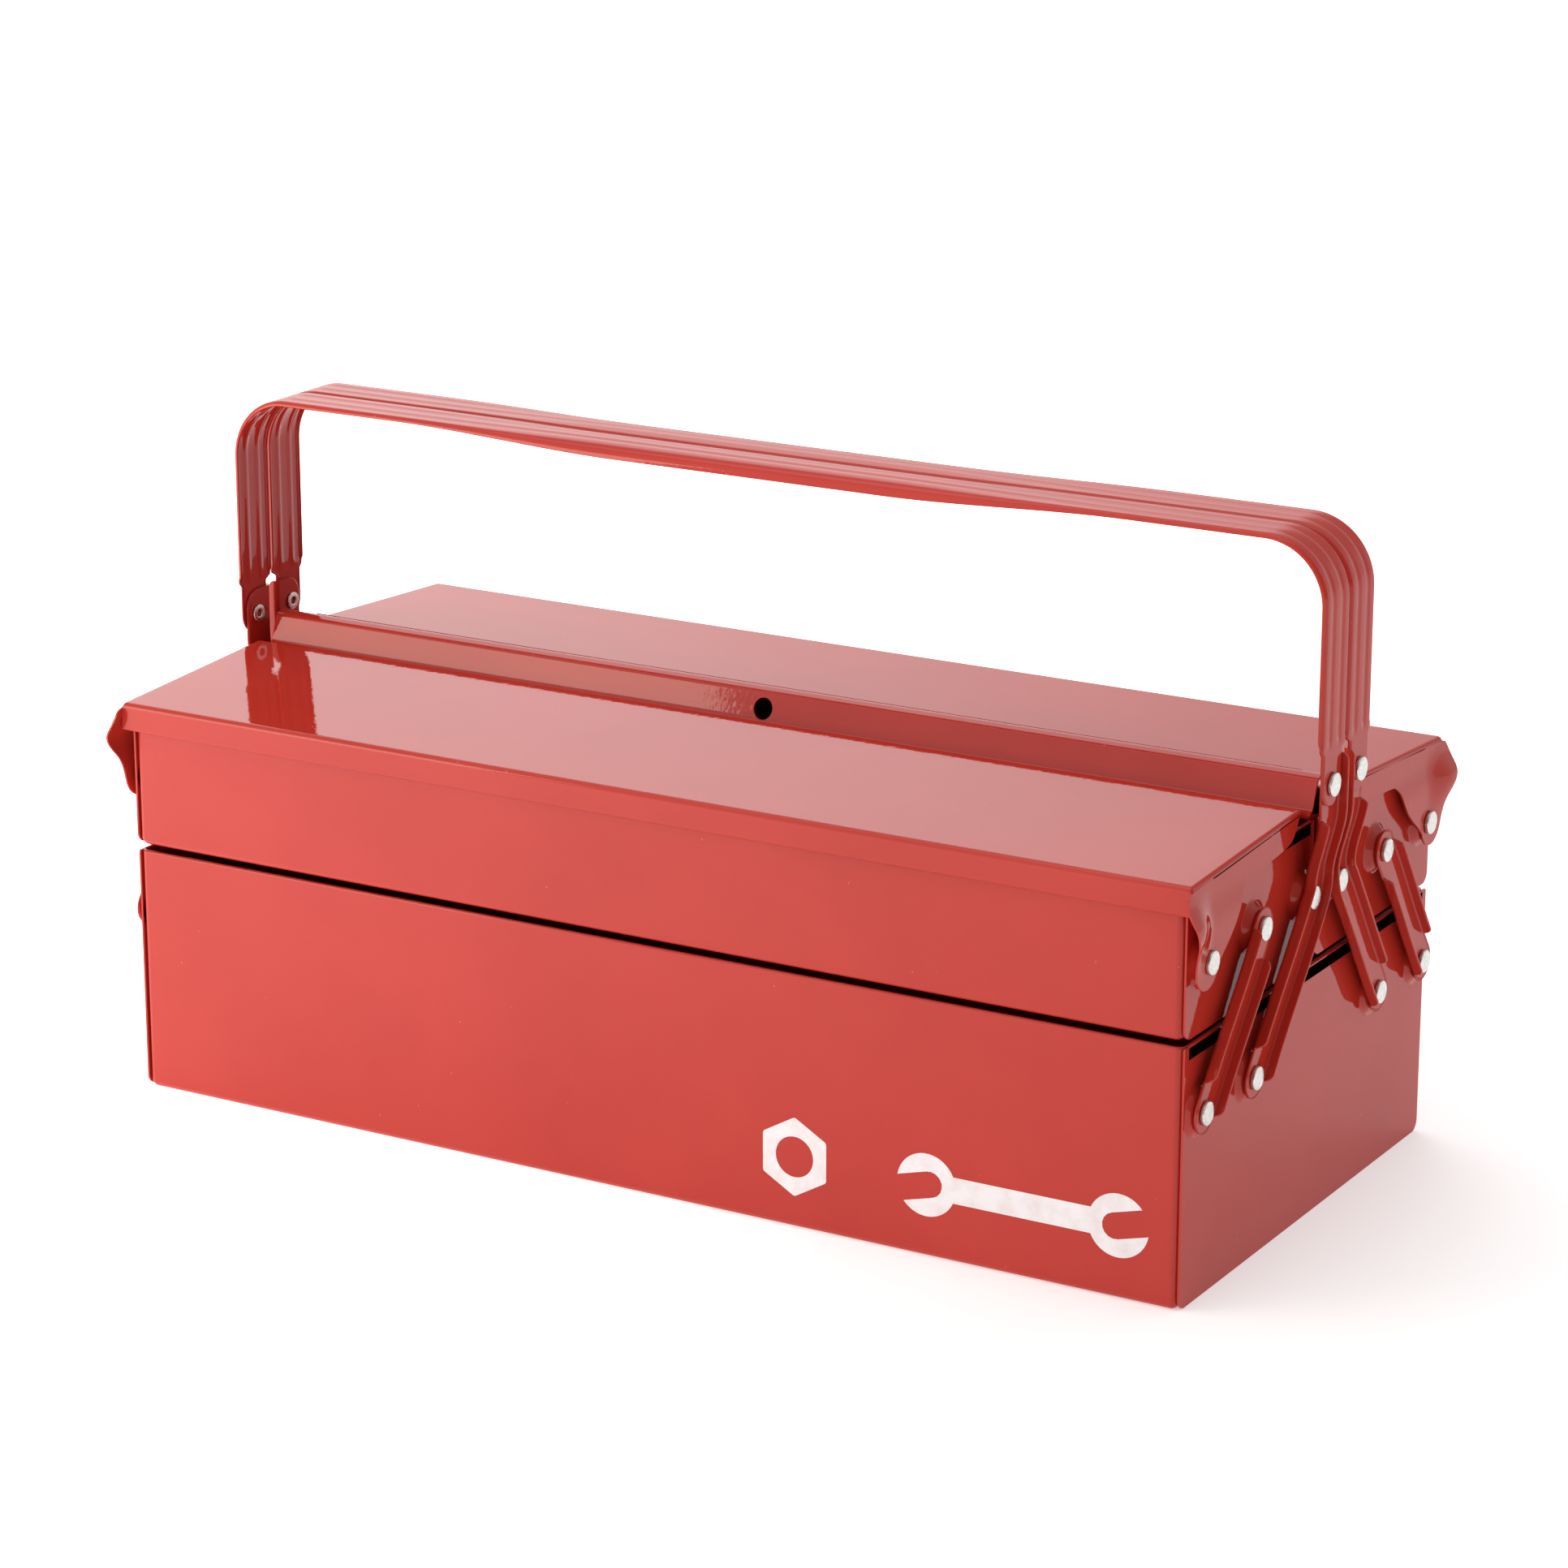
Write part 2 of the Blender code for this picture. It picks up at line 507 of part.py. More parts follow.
def lid_end(side, face):
    """End flange of a lid with its hinge ear: a flared slab trimmed to the flange's outline."""
    outline = [(y, lid_top_z(y) - 0.15) for y in (GROOVE_Y + 1.1, LID_Y - 1)]
    outline += [(LID_Y + y, LID_EDGE_Z + z) for y, z in EAR_CORNER]
    outline += [(LID_PIVOT_Y + 2.5 + EAR_R * math.cos(a), LID_PIVOT_Z - 1 + EAR_R * math.sin(a))
                for a in np.radians(range(-10, -171, -20))]
    outline += [(LID_PIVOT_Y + y, LID_PIVOT_Z + z) for y, z in EAR_EDGE]
    outline += [(GROOVE_Y + y, LID_RIDGE_Z + z) for y, z in FLANGE_EDGE]
    ys = [GROOVE_Y - 0.5] + [LID_PIVOT_Y - k for k in (30.3, 16.3, 6.3)]
    ys += list(np.arange(LID_Y - 16, LID_Y + 8.5, 4))
    zs = [LID_PIVOT_Z - k for k in (12.5, 5.5)] + list(np.arange(LID_PIVOT_Z + 0.5, LID_EDGE_Z - 1, 4.4))
    zs.append(LID_RIDGE_Z + 2.2)
    bm = bmesh.new()
    layers = []
    for back in (0.0, SHEET):
        grid = [[bm.verts.new(mirrored(side, face, lid_flange_x(y, z) - back, (y, z))) for z in zs]
                for y in ys]
        layers.append(grid)
        for a, b in zip(grid, grid[1:]):
            for k in range(len(zs) - 1):
                bm.faces.new((a[k], a[k + 1], b[k + 1], b[k]))
    front, rear = layers
    rim = [(i, 0) for i in range(len(ys))] + [(len(ys) - 1, k) for k in range(1, len(zs))]
    rim += [(i, len(zs) - 1) for i in range(len(ys) - 2, -1, -1)]
    rim += [(0, k) for k in range(len(zs) - 2, 0, -1)]
    for (i, k), (j, m) in zip(rim, rim[1:] + rim[:1]):
        bm.faces.new((front[i][k], front[j][m], rear[j][m], rear[i][k]))
    slab = from_bmesh(bm, "slab")
    low, high = sorted((side * (LID_X - 8), side * (LID_X + 12)))
    trim = prism([(face * y, z) for y, z in outline], low, high)
    combine(slab, trim, "INTERSECT")
    return drill(slab, face * LID_PIVOT_Y, LID_PIVOT_Z, low, high)


def lid(face, path, radii):
    """Lid: a folded profile along X with a flared end flange at each side."""
    low_z = LID_EDGE_Z - LID_LIP
    lip = [(LID_Y - LIP_CURL, low_z + 0.4), (LID_Y - 1.0, low_z), (LID_Y, low_z + 1.0), (LID_Y, LID_EDGE_Z)]
    curve = fillet(lip + path, [0, 0.5, 0.8, LID_TOP_R] + radii)
    x = LID_X - 0.2
    made = prism([(face * y, z) for y, z in sheet(curve, SHEET)], -x, x)
    for side in (-1, 1):
        join(made, lid_end(side, face))
    return made


def padlock_hole(made, y_low, y_high):
    """Hole along Y through the middle of a lid's upright part, between two distances from the front."""
    middle = LID_RIDGE_Z + PADLOCK_RISE
    turn = [2 * math.pi * k / 24 for k in range(24)]
    ring = [(PADLOCK_R * math.cos(t), middle + PADLOCK_R * math.sin(t)) for t in turn]
    return cut(made, prism(ring, y_low, y_high, lambda a, b, along: (a, along, b)))


def front_lid():
    """Lid with the ridge that closes over the middle of the box."""
    path = [(GROOVE_Y, LID_RIDGE_Z)] + [(y, LID_RIDGE_Z + z) for y, z, _ in RIDGE]
    made = lid(-1, path, [1.5] + [r for _, _, r in RIDGE])
    padlock_hole(made, -RIDGE[0][0] + 0.6, 0)
    return finish(made, "front_lid", "red_enamel", RED, (0, -LID_PIVOT_Y, LID_PIVOT_Z))


def rear_lid():
    """Lid with the upright flange that stands under the front lid's ridge."""
    path = [(LATCH_Y, lid_top_z(LATCH_Y)), (LATCH_Y, LATCH_Z)]
    made = lid(1, path, [1.6, 0])
    for side in (-1, 1):
        low, high = sorted((side * (LID_X - 0.2 - LATCH_SHORT), side * (LID_X + 5)))
        cut(made, box((low, LATCH_Y - 3, lid_top_z(LATCH_Y) + 1.0), (high, LATCH_Y + 3, LATCH_Z + 5)))
    padlock_hole(made, LATCH_Y - SHEET - 1, LATCH_Y + GAP)
    return finish(made, "rear_lid", "red_enamel", RED, (0, LID_PIVOT_Y, LID_PIVOT_Z))


# ---- handles -------------------------------------------------------------------------------
def handle(name, face):
    """Ribbed strap bent to a U, with flat round tongues on the handle rivets."""
    out_x = STRAP_X + STRAP
    tongue_z = HANDLE_PIVOT_Z - STRAP_TONGUE
    neck = HANDLE_PIVOT_Z + NECK
    right = fillet([(out_x, tongue_z), (out_x, HANDLE_TOP), (0, HANDLE_TOP)], [0, STRAP_CORNER, 0], 6)
    ends = [STRAP_TONGUE * (1 - math.cos(k)) for k in (0.3, 0.7, 1.1, math.pi / 2)]
    leg = [(out_x, tongue_z + e) for e in ends]
    leg += [(out_x, neck + k) for k in (-1.5, 0.5, 2.0, 4.5)] + right[1:-1]
    bar = [(x, HANDLE_TOP) for x in np.linspace(right[-2][0] - 50, 0, 5)]
    half_path = leg + bar
    path = half_path + [(-x, z) for x, z in half_path[-2::-1]]
    rings = []
    for i, (x, z) in enumerate(path):
        a, b = np.array(path[max(i - 1, 0)]), np.array(path[min(i + 1, len(path) - 1)])
        tangent = (b - a) / np.linalg.norm(b - a)
        inward = np.array([tangent[1], -tangent[0]])
        inward = -inward if inward @ (np.array([0, HANDLE_PIVOT_Z]) - (x, z)) < 0 else inward
        on_leg = z < HANDLE_TOP - STRAP_CORNER - 1
        wide = smooth(z, neck - 1.5, neck + 1.0) if on_leg else 1.0
        grip = smooth(-abs(x), -GRIP_END, -GRIP_FULL) if z > HANDLE_TOP - 1 else 0.0
        tongue = min(round_end(z, tongue_z, STRAP_TONGUE), STRAP_TONGUE)
        half = tongue + (STRAP_HALF - STRAP_TONGUE) * wide
        middle = HANDLE_PIVOT_Y + (STRAP_Y - HANDLE_PIVOT_Y) * wide
        rise = smooth(z, neck - 0.5, neck + 4.5) if on_leg else 1.0
        outer = (STRAP_RIM + (GRIP_RIM - STRAP_RIM) * grip) * rise
        inner = (STRAP_RIM + 0.5 * grip) * rise
        radius = 1.9 + 2.6 * grip
        section = channel(half, half, outer, inner, STRAP, radius, BEAD * rise + 1e-3)
        crown = GRIP_CROWN * grip
        rings.append([(x + inward[0] * d, face * (middle - n), z + inward[1] * d + crown) for n, d in section])
    made = loft(rings)
    for side in (-1, 1):
        low, high = sorted((side * (STRAP_X - 5), side * (STRAP_X + 8)))
        drill(made, face * HANDLE_PIVOT_Y, HANDLE_PIVOT_Z, low, high)
    return finish(made, name, "red_enamel", RED, (0, face * HANDLE_PIVOT_Y, HANDLE_PIVOT_Z))


# ---- the toolbox ---------------------------------------------------------------------------
def base():
    shell("base_shell", -WALL_Y, WALL_Y, 0.0, BASE_HEIGHT)
    pivots = [(face * y, BASE_PIVOT_Z) for face in (-1, 1)
              for y in (SHORT_TRAY_Y + ARM_RUN, LONG_TRAY_Y + ARM_RUN)]
    names = [f"rivet_{end}_{arm}_base" for end in ("front", "rear") for arm in ("short", "long")]
    bosses = [(y, z, BASE_BOSS) for y, z in pivots]
    edge = WALL_Y - 0.4
    for side, word in ((-1, "left"), (1, "right")):
        end_plate(f"base_end_{word}", side, -edge, edge, 0.2, BASE_HEIGHT, bosses)
        for title, (y, z) in zip(names, pivots):
            rivet(f"{title}_{word}", side, y, z, END_X + BASE_BOSS - SHEET, BASE_WEB_X + ARM_SHEET)


def tray(face, title):
    low, high = sorted((face * TRAY_SPLIT, face * TRAY_Y))
    shell(f"{title}_tray_shell", low, high, TRAY_Z, TRAY_TOP)
    spots = [("short_tray", SHORT_TRAY_Y, TRAY_PIVOT_Z, TRAY_BOSS, ARM_SHEET),
             ("long_tray", LONG_TRAY_Y, TRAY_PIVOT_Z, TRAY_BOSS, ARM_SHEET),
             ("lid", LID_PIVOT_Y, LID_PIVOT_Z, LID_BOSS, SHEET)]
    bosses = [(face * y, z, height) for _, y, z, height, _ in spots]
    for side, word in ((-1, "left"), (1, "right")):
        end_plate(f"{title}_tray_end_{word}", side, low + 0.4, high - 0.4, TRAY_Z + 0.2, TRAY_TOP, bosses)
        for spot, y, z, height, sheet_t in spots:
            top = END_X + height
            rivet(f"rivet_{title}_{spot}_{word}", side, face * y, z, top - SHEET, top + GAP + sheet_t)


def arms(face, title):
    for side, word in ((-1, "left"), (1, "right")):
        short_arm(f"{title}_short_arm_{word}", side, face)
        long_arm(f"{title}_long_arm_{word}", side, face)
        pivot = (side * STRAP_X, face * HANDLE_PIVOT_Y, HANDLE_PIVOT_Z)
        rivet(f"rivet_{title}_handle_{word}", side, pivot[1], pivot[2], END_X + ARM_TOP_X, STRAP_X + STRAP)


def main():
    for old in list(bpy.data.objects):
        bpy.data.objects.remove(old)
    base()
    for face, title in ((-1, "front"), (1, "rear")):
        tray(face, title)
        arms(face, title)
        handle(f"{title}_handle", face)
    front_lid()
    rear_lid()


main()
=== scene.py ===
# %% [markdown]
# # A steel cantilever toolbox
# A sheet-steel toolbox in gloss red enamel: a deep base, two upper trays with lids, four pairs of
# arms, bright rivets and two strap handles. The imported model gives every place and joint. This
# lesson makes what the eye meets: smooth bends, rounded sheet edges, enamel and plated metal.

# %% Load the fixed frame
import json
import math
import bmesh
import bpy
import numpy as np
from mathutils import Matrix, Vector
from mathutils.geometry import delaunay_2d_cdt


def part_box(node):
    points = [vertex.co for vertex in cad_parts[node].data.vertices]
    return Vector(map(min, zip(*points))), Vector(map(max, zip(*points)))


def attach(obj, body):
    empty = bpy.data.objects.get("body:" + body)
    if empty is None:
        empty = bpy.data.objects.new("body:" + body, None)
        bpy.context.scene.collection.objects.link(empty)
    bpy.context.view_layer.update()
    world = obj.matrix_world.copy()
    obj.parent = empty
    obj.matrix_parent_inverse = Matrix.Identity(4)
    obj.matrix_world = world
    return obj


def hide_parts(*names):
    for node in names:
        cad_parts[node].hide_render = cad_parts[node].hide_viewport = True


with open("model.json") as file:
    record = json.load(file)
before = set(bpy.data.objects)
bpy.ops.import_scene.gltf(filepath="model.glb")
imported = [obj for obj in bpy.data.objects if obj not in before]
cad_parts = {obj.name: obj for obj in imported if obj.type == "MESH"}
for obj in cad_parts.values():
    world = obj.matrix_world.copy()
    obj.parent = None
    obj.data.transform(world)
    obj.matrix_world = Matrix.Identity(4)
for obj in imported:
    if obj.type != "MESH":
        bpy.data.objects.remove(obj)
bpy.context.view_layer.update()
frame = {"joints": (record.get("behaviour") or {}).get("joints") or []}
MM = 0.001

# %% [markdown]
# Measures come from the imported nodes, in millimetres, so a visual piece always sits where its solid
# sits. A box gives the extreme corners of a node, and the joints give the pivots. Front and rear are
# mirror images, so most shapes are made once for y > 0 and multiplied by a face, -1 or 1.

# %% Read the measures
def span(node):
    low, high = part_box(node)
    return np.array(low) / MM, np.array(high) / MM


joint_at = {j["name"]: np.array(j["pos_m"]) / MM for j in frame["joints"]}
SIDES = ((-1, "left"), (1, "right"))
FACES = (("front", -1), ("rear", 1))
SHEET, ARM_SHEET, STRAP, GAP = 0.8, 1.1, 1.2, 0.3
BASE_BOSS, TRAY_BOSS, LID_BOSS = 2.3, 3.5, 3.2
END_X = span("base_end_right")[1][0] - BASE_BOSS
WALL_Y = span("base_shell")[1][1]
BASE_TOP = span("base_shell")[1][2]
TRAY_LOW, TRAY_HIGH = (span("rear_tray_shell")[k] for k in (0, 1))
BASE_WEB, TRAY_WEB, ARM_TOP_X = END_X + BASE_BOSS + GAP, END_X + TRAY_BOSS + GAP, END_X + 8.7
STRAP_X = ARM_TOP_X + ARM_SHEET + GAP
LONG_BASE = joint_at["rear_swing"][1:]
SHORT_BASE = joint_at["rear_short_swing"][1:]
LONG_TRAY = joint_at["rear_tray_level"][1:]
SHORT_TRAY = SHORT_BASE + LONG_TRAY - LONG_BASE
LID_AT = joint_at["rear_lid_hinge"][1:]
HANDLE_AT = joint_at["rear_handle_fold"][1:]
HANDLE_TOP = HANDLE_AT[1] + 94.4
LID_OVER, LID_SLOPE = 3.0, 4.8
LID_X, LID_Y = END_X + LID_OVER, TRAY_HIGH[1] + LID_OVER
EDGE_Z = TRAY_HIGH[2] + 4.0
RIDGE_Z = EDGE_Z + LID_SLOPE
GROOVE_Y = 20.5
print("end plates at x =", END_X, "lid edge at z =", EDGE_Z)

# %% [markdown]
# ## Gloss enamel
# Sprayed enamel is a pigmented coat under a clear, glassy skin. The skin gives sharp reflections
# that waver slightly, the orange peel. Four noises do the work: a fine one bends the reflections,
# a broad one makes the sheet a little uneven, and two slow ones vary colour and gloss as handling
# does. Spray also traps dust, so a Voronoi pattern scatters a few pale nibs a fraction of a
# millimetre wide, each with its own small bump.

# %% A small helper for node trees
def tree_of(name):
    made = bpy.data.materials.new(name)
    made.use_nodes = True
    tree = made.node_tree
    return made, tree, tree.nodes["Principled BSDF"]


def node(tree, kind, links=(), **values):
    """A node with its sockets set by name and its inputs linked from other nodes' outputs."""
    made = tree.nodes.new(kind)
    for key, value in values.items():
        if key in made.inputs:
            made.inputs[key].default_value = value
        else:
            setattr(made, key, value)
    for socket, source in links:
        tree.links.new(source, made.inputs[socket])
    return made


def ramp(tree, source, *stops):
    made = node(tree, "ShaderNodeValToRGB", [("Fac", source)])
    made.color_ramp.elements[0].position, made.color_ramp.elements[0].color = stops[0]
    made.color_ramp.elements[1].position, made.color_ramp.elements[1].color = stops[-1]
    for position, colour in stops[1:-1]:
        made.color_ramp.elements.new(position).color = colour
    return made.outputs["Color"]


def noise(tree, place, scale, detail, roughness=0.5):
    made = node(tree, "ShaderNodeTexNoise", [("Vector", place)], Scale=scale, Detail=detail,
                Roughness=roughness)
    return made.outputs["Fac"]


def bump(tree, height, strength, distance, under=None):
    """A bump laid over another one, if there is one under it."""
    below = [("Normal", under)] if under else []
    made = node(tree, "ShaderNodeBump", [("Height", height)] + below, Strength=strength, Distance=distance)
    return made.outputs["Normal"]


def grey(value):
    return value, value, value, 1


# %% Red enamel
NIB_SIZE, NIB_COLOUR = 0.035, (0.6, 0.16, 0.12, 1)
PEEL = 0.05
COLOUR_MIX = 0, 6, 7      # a Mix node's sockets for factor, A and B in its colour mode


def enamel(name, colour):
    made, tree, bsdf = tree_of(name)
    place = node(tree, "ShaderNodeTexCoord").outputs["Object"]
    deep = (colour[0] * 0.9, colour[1] * 0.78, colour[2] * 0.75, 1)
    paint = ramp(tree, noise(tree, place, 9.0, 3.0, 0.6), (0.3, deep), (0.7, (*colour, 1)))
    nibs = node(tree, "ShaderNodeTexVoronoi", [("Vector", place)], Scale=75.0)
    nib = ramp(tree, nibs.outputs["Distance"], (0.0, grey(1)), (NIB_SIZE, grey(0)))
    dusty = node(tree, "ShaderNodeMix", data_type="RGBA")
    factor, a, b = (dusty.inputs[k] for k in COLOUR_MIX)
    tree.links.new(nib, factor)
    tree.links.new(paint, a)
    b.default_value = NIB_COLOUR
    tree.links.new(dusty.outputs[2], bsdf.inputs["Base Color"])
    smear = ramp(tree, noise(tree, place, 26.0, 5.0, 0.65), (0.35, grey(0.3)), (0.75, grey(0.42)))
    tree.links.new(smear, bsdf.inputs["Roughness"])
    wave = bump(tree, noise(tree, place, 34.0, 1.0), 0.12, 0.0006)
    grit = bump(tree, nib, 0.25, 0.0002, wave)
    skin = bump(tree, noise(tree, place, 420.0, 2.0), PEEL, 0.0004, grit)
    tree.links.new(skin, bsdf.inputs["Normal"])
    bsdf.inputs["Specular IOR Level"].default_value = 0.0
    bsdf.inputs["Coat Weight"].default_value = 0.7
    bsdf.inputs["Coat Roughness"].default_value = 0.045
    bsdf.inputs["Coat IOR"].default_value = 1.52
    tree.links.new(skin, bsdf.inputs["Coat Normal"])
    return made


RED = enamel("red_enamel", (0.5, 0.033, 0.02))
print("enamel:", len(RED.node_tree.nodes), "nodes")

# %% [markdown]
# ## Nickel plate
# The rivets are barrel-plated, so their shine is soft and slightly mottled, with fine scratches from
# tumbling. One noise mottles colour and gloss together, and a finer one makes the scratches.

# %% Bright nickel
def nickel(name):
    made, tree, bsdf = tree_of(name)
    place = node(tree, "ShaderNodeTexCoord").outputs["Object"]
    mottle = noise(tree, place, 700.0, 4.0, 0.6)
    tone = ramp(tree, mottle, (0.3, (0.62, 0.6, 0.56, 1)), (0.7, (0.8, 0.79, 0.76, 1)))
    tree.links.new(tone, bsdf.inputs["Base Color"])
    gloss = ramp(tree, mottle, (0.3, grey(0.36)), (0.75, grey(0.2)))
    tree.links.new(gloss, bsdf.inputs["Roughness"])
    scratches = bump(tree, noise(tree, place, 1800.0, 2.0), 0.12, 0.0002)
    tree.links.new(scratches, bsdf.inputs["Normal"])
    bsdf.inputs["Metallic"].default_value = 1.0
    return made


NICKEL = nickel("nickel_rivet")


# %% [markdown]
# ## Tools for sheet metal
# Three helpers carry the whole box. `fillet` rounds the corners of a path as a press brake does.
# `sheet` gives a path its thickness. `loft` joins rings of points into a closed solid, which suits
# anything that changes along its length, such as an arm or a handle strap.

# %% Paths and rings
def fillet(points, radii, steps=8, closed=False):
    """A path with each corner replaced by an arc of its own radius."""
    out, n = [], len(points)
    for i, (p, r) in enumerate(zip(points, radii)):
        if r <= 0 or (not closed and i in (0, n - 1)):
            out.append(tuple(p))
            continue
        a, b = np.subtract(points[i - 1], p), np.subtract(points[(i + 1) % n], p)
        a, b = a / np.linalg.norm(a), b / np.linalg.norm(b)
        half = math.acos(float(np.clip(a @ b, -1, 1))) / 2
        centre = np.array(p) + (a + b) / np.linalg.norm(a + b) * r / math.sin(half)
        start = np.array(p) + a * r / math.tan(half) - centre
        turn = math.copysign(math.pi - 2 * half, -(a[0] * b[1] - a[1] * b[0]))
        for k in range(steps + 1):
            c, s = math.cos(turn * k / steps), math.sin(turn * k / steps)
            out.append(tuple(centre + (start[0] * c - start[1] * s, start[0] * s + start[1] * c)))
    return out


def sheet(path, thickness):
    """Closed outline of a sheet whose right-hand side is the path, with its last edge eased."""
    p = np.array(path)
    along = np.diff(p, axis=0)
    along /= np.linalg.norm(along, axis=1)[:, None]
    normal = np.stack([-along[:, 1], along[:, 0]], 1)
    before, after = np.vstack([normal[:1], normal]), np.vstack([normal, normal[-1:]])
    miter = np.array([(a + b) / (1 + a @ b) for a, b in zip(before, after)])
    left = p + miter * thickness
    r = thickness * 0.3
    back, out = along[-1] * r, normal[-1] * r
    tip = [p[-1] - back, p[-1] + out, left[-1] - out, left[-1] - back]
    return [tuple(q) for q in [*p[:-1], *tip, *left[:-1][::-1]]]


def smooth(x, low, high):
    """An eased step from 0 at low to 1 at high."""
    u = np.clip((np.asarray(x, float) - low) / (high - low), 0, 1)
    return u * u * (3 - 2 * u)


# %% Solids
def solid(name, verts, faces, material, sharp=35, rides=None, swaps=(), slot="red_enamel"):
    """A mesh in millimetres made into a finished piece that rides on a body and replaces nodes."""
    mesh = bpy.data.meshes.new(name)
    mesh.from_pydata([tuple(c * MM for c in v) for v in verts], [], faces)
    bm = bmesh.new()
    bm.from_mesh(mesh)
    bmesh.ops.recalc_face_normals(bm, faces=bm.faces)
    bm.to_mesh(mesh)
    bm.free()
    made = bpy.data.objects.new(name, mesh)
    bpy.context.collection.objects.link(made)
    return dress(made, material, sharp, rides, swaps)


def dress(made, material, sharp=35, rides=None, swaps=()):
    """Keep bends soft and flat faces flat in the shading, then give material and body, and hide the nodes
    it replaces.
    """
    made.data.materials.clear()
    made.data.materials.append(material)
    made.data.shade_smooth()
    made.data.set_sharp_from_angle(angle=math.radians(sharp))
    flat = made.modifiers.new("flat faces", "WEIGHTED_NORMAL")
    flat.keep_sharp = True
    freeze(made)
    if rides:
        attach(made, rides)
        if swaps:
            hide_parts(*swaps)
    return made


def freeze(made):
    """Turn an object's modifiers into plain mesh."""
    bpy.context.view_layer.update()
    seen = made.evaluated_get(bpy.context.evaluated_depsgraph_get())
    mesh = bpy.data.meshes.new_from_object(seen)
    made.modifiers.clear()
    old, made.data = made.data, mesh
    bpy.data.meshes.remove(old)
    return made


def loft(rings):
    """Verts and faces of a closed solid through rings of equal length."""
    n = len(rings[0])
    verts = [p for ring in rings for p in ring]
    faces = [(i * n + k, i * n + (k + 1) % n, (i + 1) * n + (k + 1) % n, (i + 1) * n + k)
             for i in range(len(rings) - 1) for k in range(n)]
    faces += [tuple(range(n)), tuple(range((len(rings) - 1) * n, len(rings) * n))]
    return verts, faces


def merged(*parts):
    """Verts and faces of several closed parts as one list of each."""
    verts, faces = [], []
    for more_verts, more_faces in parts:
        start = len(verts)
        verts += list(more_verts)
        faces += [tuple(start + k for k in f) for f in more_faces]
    return verts, faces


# %% [markdown]
# A stamped plate is flat except where a punch has pushed it. `pressed` triangulates an outline with
# extra points where the shape needs them, lifts every point with a height rule, and closes the back
# a sheet's thickness behind. Bosses, ears and flares all come from that one rule.

# %% Stamped plates
def circle(at, radius, count=40):
    turns = [2 * math.pi * k / count for k in range(count)]
    return [(at[0] + radius * math.cos(t), at[1] + radius * math.sin(t)) for t in turns]


def pressed(outline, loops, points, height, side, thickness=SHEET, face=1, hole=None):
    """A plate in the YZ plane: outline, closed loops of extra edges, extra points, and x = height(y, z).

    A hole is (y, z, radius), and its edge has to be one of the loops."""
    coords, edges = [], []
    for ring in [outline] + list(loops):
        start = len(coords)
        coords += [Vector(p) for p in ring]
        edges += [(start + k, start + (k + 1) % len(ring)) for k in range(len(ring))]
    coords += [Vector(p) for p in points]
    flat, _, triangles = delaunay_2d_cdt(coords, edges, [list(range(len(outline)))], 1, 1e-4)[:3]
    yz = np.array([tuple(p) for p in flat])
    if hole:
        triangles = [t for t in triangles if math.dist(yz[list(t)].mean(0), hole[:2]) > hole[2] * 0.999]
    x = height(yz[:, 0], yz[:, 1])
    front = [(side * a, face * b, c) for a, (b, c) in zip(x, yz)]
    back = [(side * (a - thickness), face * b, c) for a, (b, c) in zip(x, yz)]
    n = len(front)
    faces = [tuple(t) for t in triangles] + [tuple(n + k for k in t[::-1]) for t in triangles]
    sides = {(a, b): True for t in triangles for a, b in zip(t, list(t[1:]) + [t[0]])}
    rim = [(a, b) for a, b in sides if (b, a) not in sides]
    faces += [(a, n + a, n + b, b) for a, b in rim]
    return front + back, faces


def boss_height(bosses):
    """Height rule of round pressed bosses: a flat top, a cone and a soft foot."""
    def rule(y, z):
        lift = np.zeros(len(y))
        for (by, bz), high in bosses:
            r = np.hypot(y - by, z - bz)
            lift = np.maximum(lift, high * (1 - smooth(r, 6.2, 10.4)))
        return END_X + lift
    return rule


# %% [markdown]
# ## Shells
# The base and the trays are folded from one sheet each: a bottom, two long walls with hemmed rims
# and return flanges behind the end plates. The section is one path with rounded folds. It is lofted
# along the length, and the last rings draw in to a corner radius so the walls turn the corner.

# %% Folded shells
CORNER_R, FOLD_R = 3.0, 0.95
HEM_DEPTH, HEM_T = 6.0, 2.0
RETURN = 12.0
BOX_FACES = [(0, 1, 3, 2), (4, 6, 7, 5), (0, 4, 5, 1), (2, 3, 7, 6), (0, 2, 6, 4), (1, 5, 7, 3)]


